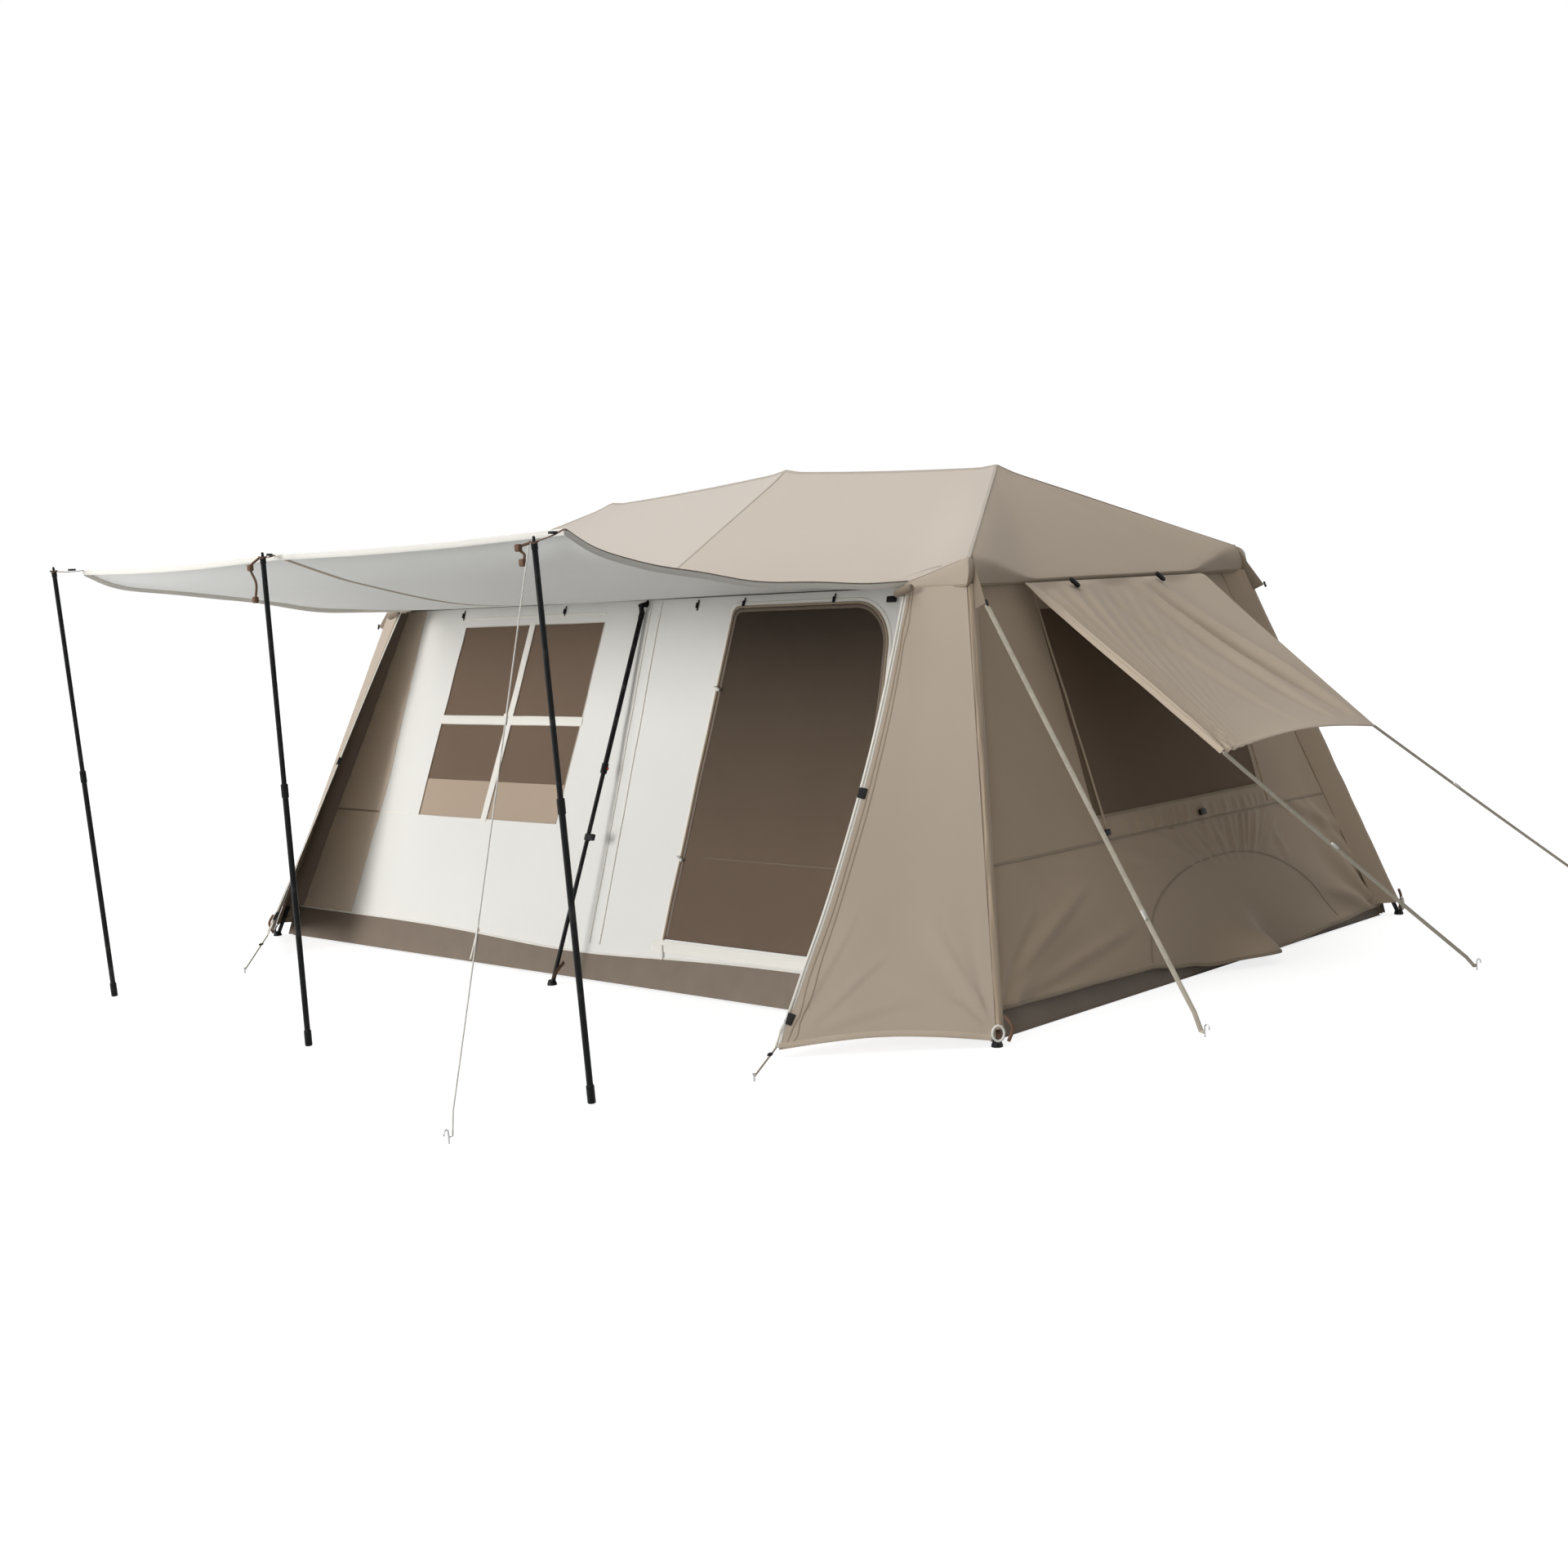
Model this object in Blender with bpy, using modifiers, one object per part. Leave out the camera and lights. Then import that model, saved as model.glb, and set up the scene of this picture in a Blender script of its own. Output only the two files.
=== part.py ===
# Quick-pitch cabin tent: hipped ridge roof, six folding legs, front awning on three poles.
# Metres. +X runs along the ridge, -Y faces the awning, +Z is up, and the origin is the
# middle of the footprint on the ground.

import math

import bmesh
import bpy
from mathutils import Matrix, Vector

OBJECT_NAME = "ridge_tent"

# Clearances
GAP = 0.0003            # faces that touch on the real tent
CLOTH_GAP = 0.004       # cloth edges that are sewn to each other
PIN_HOLE_RADIUS = 0.0037

# Feet and elbows of the frame
FOOT_X = 2.29
FOOT_Y = 1.50
MIDDLE_FOOT_Y = 1.60
CORNER_ELBOW_X = 1.805
CORNER_ELBOW_Y = 0.95
CORNER_ELBOW_Z = 1.672
MIDDLE_ELBOW_Y = 0.955
MIDDLE_ELBOW_Z = 1.568

# Hubs
RIDGE_HALF = 1.24
MIDDLE_HUB_Z = 2.112
END_HUB_Z = 2.050
HUB_RADIUS = 0.026
HUB_HALF_HEIGHT = 0.015
HUB_DOME = 0.007
HUB_PIVOT_RADIUS = 0.045
HUB_FORK_INSET = 0.0075     # of a fork's root inside the hub's rim
HUB_FORK_ROOT = 0.007

# Hinge forks and tongues
PIN_RADIUS = 0.003
PIN_HEAD_RADIUS = 0.0048
PIN_HEAD_HEIGHT = 0.0016
EYE_RADIUS = 0.009
TONGUE_THICKNESS = 0.012
CHEEK_THICKNESS = 0.004
PLUG_RADIUS = 0.0125
PLUG_LENGTH = 0.030
PLUG_STANDOFF = 0.022   # from a hinge pin to the end of the plug
PLUG_EDGE = 0.0015
ROOT_RADIUS = 0.0105        # of a tongue or fork where it leaves its plug
TONGUE_ROOT_INSET = 0.006
FORK_ROOT_INSET = 0.010
ELBOW_OFFSET = 0.014    # from an elbow pin to the middle of each tube

# Tubes
RIDGE_TUBE_RADIUS = 0.011
ARM_TUBE_RADIUS = 0.0095
UPPER_TUBE_RADIUS = 0.0112
LOWER_TUBE_RADIUS = 0.0095
TUBE_WALL = 0.0012
COLLAR_Z = 0.865        # height of the push-button collar of a leg
COLLAR_RADIUS = 0.0150
COLLAR_LENGTH = 0.046
TUBE_ENGAGEMENT = 0.060
BUTTON_RADIUS = 0.0050
BUTTON_HEIGHT = 0.0080
BUTTON_TRAVEL = 0.003
BUTTON_PLAY = 0.0004
BUTTON_BOSS_RADIUS = 0.0082
BUTTON_BOSS_REACH = 0.0190
BUTTON_PROUD = 0.0040
FOOT_PAD_RADIUS = 0.021
FOOT_PAD_TOP_RADIUS = 0.015
FOOT_PAD_HEIGHT = 0.022
FOOT_TUBE_LIFT = 0.009

# Awning poles
POLE_LOWER_RADIUS = 0.0110
POLE_UPPER_RADIUS = 0.0095
POLE_WALL = 0.0012
POLE_JOINT = 0.98       # length of the lower tube
POLE_ENGAGEMENT = 0.08
POLE_COLLAR_RADIUS = 0.0135
POLE_COLLAR_LENGTH = 0.05
POLE_FOOT_RADIUS = 0.0140
POLE_FOOT_LENGTH = 0.044
POLE_PLUG_END = 0.10    # of the solid part of the lower tube, above its foot
POLE_RING_HEIGHT = 0.026    # ring under the spike
POLE_RING_PROUD = 0.0015
POLE_SPIKE_RADIUS = 0.0045
POLE_SPIKE_LENGTH = 0.016
POLE_PIVOT_Z = 0.017
POLE_FEET = {"left": (-1.555, -2.775), "middle": (0.08, -2.850), "right": (1.655, -2.810)}
POLE_TOPS = {
    "left": (-1.585, -2.870, 1.870),
    "middle": (0.095, -2.897, 1.850),
    "right": (1.615, -2.870, 1.825),
}

# Cloth
CLOTH = 0.002
MESH_CLOTH = 0.0012
WALL_TOP_Z = 1.600
WALL_BASE_Z = 0.006
FRONT_WALL_TOP_Y = 0.925
FRONT_WALL_BASE_Y = 1.455
END_WALL_TOP_X = 1.790
END_WALL_BASE_X = 2.245
GROUND_X = 2.235
GROUND_Y = 1.445
GROUND_THICKNESS = 0.004
RIDGE_CLOTH_MIDDLE_Z = 2.165
RIDGE_CLOTH_END_Z = 2.092
EAVE_X = 1.83
EAVE_Y = 0.96
EAVE_CORNER_Z = 1.703
EAVE_MIDDLE_Z = 1.606
BACK_OVERHANG = 0.05
BACK_OVERHANG_DROP = 0.012
EAVE_RISE_START = 0.78      # share of the eave's half length where it starts to rise to the corner
ROOF_SAG = 0.016
SLOPE_SHARE = 0.4           # share of the front roof's grid rows above the eave
HIP_TOP_SHARE = 0.03        # where the hip's sheet stops short of the ridge end
HIP_EAVE_DROP = 0.089       # of the hip's eave in its middle
ELBOW_NOTCH_HALF = 0.040    # notch in a long wall's top under the middle elbow
ELBOW_NOTCH_DEPTH = 0.060

# Awning: outlines of its middle and its side edge, as (y, z)
AWNING_MIDDLE = [(-0.96, 1.606), (-1.40, 1.609), (-1.815, 1.615), (-2.035, 1.640),
                 (-2.445, 1.730), (-2.567, 1.766), (-2.790, 1.842)]
AWNING_SIDE = [(-0.96, 1.622), (-1.40, 1.627), (-1.90, 1.658), (-2.20, 1.700),
               (-2.50, 1.755), (-2.62, 1.790), (-2.730, 1.846)]
AWNING_HALF = 1.60
AWNING_FRONT_Y = 2.73       # at the corners
AWNING_FRONT_BOW = 0.06     # further out in the middle
AWNING_SAG = 0.018

# Gussets that join each roof corner to its leg
GUSSET_ROOT = (0.008, 0.022, 0.014)
GUSSET_INNER = (0.045, 0.012, -0.10)

# Side wings of the awning
WING_TOP_X = 1.61
WING_TOP_Y = -1.10
WING_TOP_Z = 1.585
WING_LOW_Z = 0.035
WING_TIP = (1.785, -1.985, 0.085)
WING_LEG_OFFSET = 0.022
WING_BOW = 0.05
WING_FOLD = 0.012

# Front window, four panes with a cross of wall cloth between them
WINDOW_Z = (0.63, 1.51)
WINDOW_LEFT_X = (-1.36, -1.28)      # bottom, top
WINDOW_RIGHT_X = (-0.34, -0.26)
WINDOW_BAR_X = (-0.855, -0.765)
WINDOW_BAR_Z = 1.075
WINDOW_BAR_WIDTH = 0.040
WINDOW_LAP = 0.02

# Door
DOOR_Z = (0.205, 1.530)
DOOR_LEFT_X = (0.49, 0.58)
DOOR_RIGHT_X = (1.52, 1.44)
DOOR_CORNER_RADIUS = 0.20
DOOR_SMALL_RADIUS = 0.03
DOOR_GAP = 0.002

# End windows and their flaps
END_WINDOW_Y = (-0.53, 0.70)
END_WINDOW_Z = (0.68, 1.49)
FLAP_HALF_WIDTH = 0.62
FLAP_BOTTOM_HALF_WIDTH = 0.575
FLAP_LENGTH = 1.04
FLAP_PIN_X = 1.838
FLAP_PIN_Z = 1.594
FLAP_OPEN_ANGLE = 51.8      # from straight down
FLAP_CLOSED_ANGLE = 17.6

# Cords and pegs
GUY_RADIUS = 0.0025
GUY_END_LENGTH = 0.012      # level end that meets the peg
GUY_HEIGHT_AT_PEG = 0.020
GUY_SAG = 0.004
PEG_RADIUS = 0.0030
PEG_HEIGHT = 0.045
CORNER_GUY_TOP = (1.932, -1.002, 1.530)
PEG_SPOTS = {
    "corner": (2.82, -1.012),
    "flap_near": (3.12, 0.485),
    "flap_far": (3.22, 1.853),
    "pole": (1.632, -3.360),
}

ROUND_STEPS = 12
HUB_STEPS = 18
PIN_STEPS = 8
EYE_STEPS = 5

COLOURS = {
    "frame_black": ((0.020, 0.021, 0.022), 0.45, 0.6),
    "hub_plastic": ((0.015, 0.015, 0.016), 0.50, 0.0),
    "button_red": ((0.45, 0.03, 0.02), 0.40, 0.0),
    "pole_black": ((0.022, 0.023, 0.024), 0.38, 0.7),
    "fly_khaki": ((0.36, 0.30, 0.23), 0.75, 0.0),
    "wall_cream": ((0.75, 0.74, 0.69), 0.80, 0.0),
    "mesh_brown": ((0.12, 0.09, 0.06), 0.85, 0.0),
    "ground_brown": ((0.10, 0.08, 0.06), 0.70, 0.0),
    "guy_cord": ((0.35, 0.33, 0.29), 0.80, 0.0),
    "peg_steel": ((0.45, 0.45, 0.46), 0.35, 1.0),
}


def clear_scene():
    for old in list(bpy.data.objects):
        bpy.data.objects.remove(old)


def make_collection(name):
    group = bpy.data.collections.new(name)
    bpy.context.scene.collection.children.link(group)
    return group


def make_material(name):
    colour, roughness, metallic = COLOURS[name]
    material = bpy.data.materials.new(name)
    material.use_nodes = True
    shader = material.node_tree.nodes["Principled BSDF"]
    shader.inputs["Base Color"].default_value = (*colour, 1.0)
    shader.inputs["Roughness"].default_value = roughness
    shader.inputs["Metallic"].default_value = metallic
    material.diffuse_color = (*colour, 1.0)
    return material


clear_scene()
PARTS = make_collection(OBJECT_NAME)
TOOLS = make_collection("cutters_and_joiners")
WORLD = {}      # the world placement of each node
JOINT_POINTS = {}   # where a moving part's origin goes, when its tube's own axis misses its joint


def point(x, y, z):
    return Vector((x, y, z))


def axes_frame(origin, x_axis, z_axis):
    """Placement with the given Z axis, and an X axis as near the given one as it can be."""
    z = z_axis.normalized()
    x = (x_axis - x_axis.dot(z) * z).normalized()
    y = z.cross(x)
    matrix = Matrix((x, y, z)).transposed().to_4x4()
    matrix.translation = origin
    return matrix


def add_part(name, data, placement, finish, parent=None):
    """A finished node in the parts collection, placed in world space under its parent."""
    part = bpy.data.objects.new(name, data)
    PARTS.objects.link(part)
    if parent is not None:
        part.parent = parent
        part.matrix_local = WORLD[parent.name].inverted() @ placement
    else:
        part.matrix_local = placement
    WORLD[name] = placement
    data.materials.clear()
    data.materials.append(make_material(finish) if finish not in bpy.data.materials
                          else bpy.data.materials[finish])
    return part


def add_tool(name, mesh, placement):
    tool = bpy.data.objects.new(name, mesh)
    TOOLS.objects.link(tool)
    tool.matrix_world = placement
    tool.hide_render = True
    tool.display_type = "WIRE"
    return tool


def boolean(part, tool, operation):
    step = part.modifiers.new(f"{operation.lower()} {tool.name}", "BOOLEAN")
    step.operation = operation
    step.object = tool


def smooth(mesh):
    mesh.shade_smooth()
    mesh.set_sharp_from_angle(angle=math.radians(35))


def round_bar_mesh(name, radius, start, end, steps=ROUND_STEPS):
    """A cylinder along local Z from start to end."""
    mesh = bpy.data.meshes.new(name)
    shape = bmesh.new()
    middle = Matrix.Translation((0, 0, (start + end) / 2))
    bmesh.ops.create_cone(shape, cap_ends=True, segments=steps, radius1=radius,
                          radius2=radius, depth=end - start, matrix=middle)
    shape.to_mesh(mesh)
    shape.free()
    return mesh


def turned_mesh(name, profile):
    """The open or closed outline that a Screw modifier turns about Z, as (radius, height)."""
    mesh = bpy.data.meshes.new(name)
    shape = bmesh.new()
    corners = [shape.verts.new((radius, 0, height)) for radius, height in profile]
    for first, second in zip(corners, corners[1:]):
        shape.edges.new((first, second))
    if profile[0][0] > 0:
        shape.edges.new((corners[-1], corners[0]))
    shape.to_mesh(mesh)
    shape.free()
    return mesh


def turn(part, steps=ROUND_STEPS):
    spin = part.modifiers.new("turn", "SCREW")
    spin.axis = "Z"
    spin.steps = steps
    spin.render_steps = steps
    spin.use_merge_vertices = True
    spin.merge_threshold = 0.00001
    spin.use_smooth_shade = False


def mesh_from_curve(curve):
    """The mesh of a curve, with its caps welded on."""
    holder = bpy.data.objects.new("outline", curve)
    TOOLS.objects.link(holder)
    graph = bpy.context.evaluated_depsgraph_get()
    mesh = bpy.data.meshes.new_from_object(holder.evaluated_get(graph))
    shape = bmesh.new()
    shape.from_mesh(mesh)
    bmesh.ops.remove_doubles(shape, verts=shape.verts, dist=0.000001)
    bmesh.ops.recalc_face_normals(shape, faces=shape.faces)
    shape.to_mesh(mesh)
    shape.free()
    bpy.data.objects.remove(holder)
    return mesh


def plate_mesh(name, outlines, thickness):
    """A flat plate in local XY, centred on Z = 0. The second and later outlines are holes."""
    curve = bpy.data.curves.new(name, "CURVE")
    curve.dimensions = "2D"
    curve.fill_mode = "BOTH"
    curve.extrude = thickness / 2
    for outline in outlines:
        spline = curve.splines.new("POLY")
        spline.points.add(len(outline) - 1)
        for knot, (x, y) in zip(spline.points, outline):
            knot.co = (x, y, 0, 1)
        spline.use_cyclic_u = True
    return mesh_from_curve(curve)


def rod_mesh(name, route, radius, resolution=2):
    """A round rod or cord along a route of points, with flat closed ends."""
    curve = bpy.data.curves.new(name, "CURVE")
    curve.dimensions = "3D"
    curve.bevel_depth = radius
    curve.bevel_resolution = resolution
    curve.use_fill_caps = True
    spline = curve.splines.new("POLY")
    spline.points.add(len(route) - 1)
    for knot, place in zip(spline.points, route):
        knot.co = (*place, 1)
    mesh = mesh_from_curve(curve)
    smooth(mesh)
    return mesh


def circle(centre_x, centre_y, radius, steps=12):
    turns = [2 * math.pi * i / steps for i in range(steps)]
    return [(centre_x + radius * math.cos(a), centre_y + radius * math.sin(a)) for a in turns]


def arc(centre_x, centre_y, radius, start, end, steps):
    """Points on an arc, with its angles in degrees."""
    points = []
    for i in range(steps + 1):
        a = math.radians(start + (end - start) * i / steps)
        points.append((centre_x + radius * math.cos(a), centre_y + radius * math.sin(a)))
    return points


def link_outline(start, start_radius, end, end_radius, steps=EYE_STEPS):
    """A flat link: a round end about each of two points, joined by tangent lines."""
    span = math.hypot(end[0] - start[0], end[1] - start[1])
    heading = math.degrees(math.atan2(end[1] - start[1], end[0] - start[0]))
    lean = math.degrees(math.acos((start_radius - end_radius) / span))
    far = arc(*end, end_radius, heading - lean, heading + lean, steps)
    near = arc(*start, start_radius, heading + lean, heading + 360 - lean, steps)
    return far + near


def add_fork(part, name, plane, start, pin, start_radius):
    """Two cheeks and a headed pin across them, joined to a part. Plane is the hinge's plane."""
    outline = link_outline(start, start_radius, pin, EYE_RADIUS)
    reach = TONGUE_THICKNESS / 2 + GAP + CHEEK_THICKNESS / 2
    for side in (-1, 1):
        mesh = plate_mesh(f"{name}_cheek", [outline], CHEEK_THICKNESS)
        cheek = add_tool(f"{name}_cheek", mesh, plane @ Matrix.Translation((0, 0, side * reach)))
        boolean(part, cheek, "UNION")
    half = reach + CHEEK_THICKNESS / 2 + PIN_HEAD_HEIGHT
    at_pin = plane @ Matrix.Translation((*pin, 0))
    mesh = turned_mesh(f"{name}_pin", [
        (0, half), (PIN_HEAD_RADIUS, half), (PIN_HEAD_RADIUS, half - 2 * PIN_HEAD_HEIGHT),
        (PIN_RADIUS, half - 2 * PIN_HEAD_HEIGHT), (PIN_RADIUS, -half + 2 * PIN_HEAD_HEIGHT),
        (PIN_HEAD_RADIUS, -half + 2 * PIN_HEAD_HEIGHT), (PIN_HEAD_RADIUS, -half), (0, -half)])
    bolt = add_tool(f"{name}_pin", mesh, at_pin)
    turn(bolt, PIN_STEPS)
    boolean(part, bolt, "UNION")


def add_tongue(part, name, plane, start, pin, start_radius):
    """A flat tongue with a pin hole, joined to a part."""
    outlines = [link_outline(start, start_radius, pin, EYE_RADIUS),
                circle(*pin, PIN_HOLE_RADIUS, PIN_STEPS)]
    tongue = add_tool(f"{name}_tongue", plate_mesh(f"{name}_tongue", outlines, TONGUE_THICKNESS),
                      plane)
    boolean(part, tongue, "UNION")


# Frame geometry
class Limb:
    """One roof arm and its leg: where their pins are and which way their tubes run."""

    def __init__(self, end, side):
        self.middle = end == 0
        self.name = ("front" if side < 0 else "back") + "_" + ("left", "middle", "right")[end + 1]
        self.hub = point(end * RIDGE_HALF, 0, MIDDLE_HUB_Z if self.middle else END_HUB_Z)
        if self.middle:
            self.elbow = point(0, side * MIDDLE_ELBOW_Y, MIDDLE_ELBOW_Z)
            self.foot = point(0, side * MIDDLE_FOOT_Y, 0)
        else:
            self.elbow = point(end * CORNER_ELBOW_X, side * CORNER_ELBOW_Y, CORNER_ELBOW_Z)
            self.foot = point(end * FOOT_X, side * FOOT_Y, 0)
        out = self.elbow - self.hub
        out.z = 0
        self.out = out.normalized()
        self.hub_pin = self.hub + self.out * HUB_PIVOT_RADIUS
        self.arm_length = (self.elbow - self.hub_pin).length
        self.arm = (self.elbow - self.hub_pin).normalized()
        self.leg_length = (self.foot - self.elbow).length
        self.leg = (self.foot - self.elbow).normalized()
        self.swing_axis = self.out.cross(point(0, 0, 1))
        self.fold_axis = self.arm.cross(self.leg).normalized()
        half_bend = math.acos(max(-1, min(1, -self.arm.dot(self.leg)))) / 2
        # corner elbows close inwards, so their pin is under the tubes; middle ones open outwards
        self.pin_side = -1 if self.middle else 1
        self.pin_along = self.pin_side * ELBOW_OFFSET / math.tan(half_bend)
        self.arm_plane = axes_frame(self.hub_pin, self.arm, self.fold_axis)
        self.leg_plane = axes_frame(self.elbow, self.leg, self.fold_axis)
        self.arm_pin = (self.arm_length - self.pin_along, self.pin_side * ELBOW_OFFSET)
        self.leg_pin = (self.pin_along, self.pin_side * ELBOW_OFFSET)
        self.elbow_pin = self.leg_plane @ point(*self.leg_pin, 0)
        self.upper_end = (self.elbow.z - COLLAR_Z) / -self.leg.z
        self.travel = self.upper_end - TUBE_ENGAGEMENT - self.bore_top() - 0.004

    def bore_top(self):
        return self.leg_pin[0] + PLUG_STANDOFF + PLUG_LENGTH

    def tube_frame(self, origin, along):
        """Placement whose Z runs along a tube and whose X is square to the limb's plane."""
        return axes_frame(origin, self.fold_axis, along)


LIMBS = {(end, side): Limb(end, side) for end in (-1, 0, 1) for side in (-1, 1)}


def make_hub(name, centre, directions, parent=None):
    top = HUB_HALF_HEIGHT + HUB_DOME
    profile = [
        (0, top), (0.55 * HUB_RADIUS, top - 0.2 * HUB_DOME),
        (0.88 * HUB_RADIUS, top - 0.6 * HUB_DOME),
        (HUB_RADIUS, HUB_HALF_HEIGHT - 0.002), (HUB_RADIUS, -HUB_HALF_HEIGHT + 0.003),
        (HUB_RADIUS - 0.003, -HUB_HALF_HEIGHT), (0.4 * HUB_RADIUS, -HUB_HALF_HEIGHT),
        (0.32 * HUB_RADIUS, -HUB_HALF_HEIGHT - 0.006), (0, -HUB_HALF_HEIGHT - 0.006)]
    hub = add_part(name, turned_mesh(name, profile), Matrix.Translation(centre), "hub_plastic",
                   parent)
    turn(hub, HUB_STEPS)
    for number, out in enumerate(directions):
        plane = axes_frame(centre, out, out.cross(point(0, 0, 1)))
        add_fork(hub, f"{name}_{number}", plane, (HUB_RADIUS - HUB_FORK_INSET, 0),
                 (HUB_PIVOT_RADIUS, 0), HUB_FORK_ROOT)
    return hub


def make_ridge_pole(name, end, parent):
    middle_pin = point(end * HUB_PIVOT_RADIUS, 0, MIDDLE_HUB_Z)
    end_pin = point(end * (RIDGE_HALF - HUB_PIVOT_RADIUS), 0, END_HUB_Z)
    span = end_pin - middle_pin
    axis = span.cross(point(0, 0, 1))
    tube = axes_frame(middle_pin, axis, span)
    near = PLUG_STANDOFF
    far = span.length - PLUG_STANDOFF
    profile = bar_profile(near, far, RIDGE_TUBE_RADIUS)
    pole = add_part(name, turned_mesh(name, profile), tube, "frame_black", parent)
    turn(pole)
    plane = axes_frame(middle_pin, span, axis)
    add_tongue(pole, f"{name}_near", plane, (near + TONGUE_ROOT_INSET, 0), (0, 0), ROOT_RADIUS)
    add_tongue(pole, f"{name}_far", plane, (far - TONGUE_ROOT_INSET, 0), (span.length, 0),
               ROOT_RADIUS)
    return pole


def bar_profile(near, far, radius):
    """A tube from near to far with a moulded plug over each end."""
    edge = PLUG_EDGE
    return [
        (0, far), (PLUG_RADIUS - edge, far), (PLUG_RADIUS, far - edge),
        (PLUG_RADIUS, far - PLUG_LENGTH + edge), (radius, far - PLUG_LENGTH),
        (radius, near + PLUG_LENGTH), (PLUG_RADIUS, near + PLUG_LENGTH - edge),
        (PLUG_RADIUS, near + edge), (PLUG_RADIUS - edge, near), (0, near)]


def make_arm(limb, parent):
    near = PLUG_STANDOFF
    far = limb.arm_pin[0] - PLUG_STANDOFF
    name = f"roof_arm_{limb.name}"
    frame = limb.tube_frame(limb.hub_pin, limb.arm)
    arm = add_part(name, turned_mesh(name, bar_profile(near, far, ARM_TUBE_RADIUS)), frame,
                   "frame_black", parent)
    turn(arm)
    hub_plane = axes_frame(limb.hub_pin, limb.arm, limb.swing_axis)
    add_tongue(arm, f"{name}_hub", hub_plane, (near + TONGUE_ROOT_INSET, 0), (0, 0), ROOT_RADIUS)
    add_fork(arm, f"{name}_elbow", limb.arm_plane, (far - FORK_ROOT_INSET, 0), limb.arm_pin,
             ROOT_RADIUS)
    return arm


def button_side(limb):
    """The way a leg's button faces: outwards on a corner leg, along the ridge on a middle one."""
    if limb.middle:
        return point(1, 0, 0)
    outward = point(limb.out.x, limb.out.y, 0)
    return (outward - outward.dot(limb.leg) * limb.leg).normalized()


def make_upper_leg(limb, parent):
    name = f"upper_leg_{limb.name}"
    near = limb.leg_pin[0] + PLUG_STANDOFF
    end = limb.upper_end
    bore = LOWER_TUBE_RADIUS + GAP
    edge = PLUG_EDGE
    profile = [
        (0, limb.bore_top()), (bore, limb.bore_top()), (bore, end), (COLLAR_RADIUS - edge, end),
        (COLLAR_RADIUS, end - edge), (COLLAR_RADIUS, end - COLLAR_LENGTH + edge),
        (UPPER_TUBE_RADIUS, end - COLLAR_LENGTH), (UPPER_TUBE_RADIUS, near + PLUG_LENGTH + 0.004),
        (PLUG_RADIUS, near + PLUG_LENGTH + 0.0025), (PLUG_RADIUS, near + edge),
        (PLUG_RADIUS - edge, near), (0, near)]
    leg = add_part(name, turned_mesh(name, profile), limb.tube_frame(limb.elbow, limb.leg),
                   "frame_black", parent)
    turn(leg)
    JOINT_POINTS[name] = limb.elbow_pin
    add_tongue(leg, name, limb.leg_plane, (near + TONGUE_ROOT_INSET, 0), limb.leg_pin, ROOT_RADIUS)
    facing = button_side(limb)
    seat = axes_frame(limb.elbow + limb.leg * (end - COLLAR_LENGTH / 2), limb.leg, facing)
    boss = add_tool(f"{name}_boss", round_bar_mesh(f"{name}_boss", BUTTON_BOSS_RADIUS,
                                                   bore + 0.002, BUTTON_BOSS_REACH), seat)
    boolean(leg, boss, "UNION")
    floor = BUTTON_BOSS_REACH + BUTTON_PROUD - BUTTON_HEIGHT - BUTTON_TRAVEL - BUTTON_PLAY
    pocket = add_tool(f"{name}_pocket", round_bar_mesh(
        f"{name}_pocket", BUTTON_RADIUS + BUTTON_PLAY, floor, BUTTON_BOSS_REACH + 0.01), seat)
    boolean(leg, pocket, "DIFFERENCE")
    return leg, seat


def make_button(limb, seat, parent):
    name = f"leg_button_{limb.name}"
    top = BUTTON_BOSS_REACH + BUTTON_PROUD
    low = top - BUTTON_HEIGHT
    profile = [(0, top), (0.6 * BUTTON_RADIUS, top - 0.0003), (BUTTON_RADIUS, top - 0.0012),
               (BUTTON_RADIUS, low), (0, low)]
    button = add_part(name, turned_mesh(name, profile), seat, "button_red", parent)
    turn(button)
    return button


def make_lower_leg(limb, parent):
    name = f"lower_leg_{limb.name}"
    start = limb.upper_end - TUBE_ENGAGEMENT
    end = limb.leg_length - FOOT_TUBE_LIFT / -limb.leg.z
    bore = LOWER_TUBE_RADIUS - TUBE_WALL
    profile = [(0, end), (LOWER_TUBE_RADIUS, end), (LOWER_TUBE_RADIUS, start), (bore, start),
               (bore, end - 0.05), (0, end - 0.05)]
    leg = add_part(name, turned_mesh(name, profile), limb.tube_frame(limb.elbow, limb.leg),
                   "frame_black", parent)
    turn(leg)
    pad = add_tool(f"{name}_pad", turned_mesh(f"{name}_pad", [
        (0, FOOT_PAD_HEIGHT), (FOOT_PAD_TOP_RADIUS, FOOT_PAD_HEIGHT),
        (FOOT_PAD_RADIUS, 0.006), (FOOT_PAD_RADIUS, 0), (0, 0)]), Matrix.Translation(limb.foot))
    turn(pad, HUB_STEPS)
    boolean(leg, pad, "UNION")
    return leg


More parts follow.
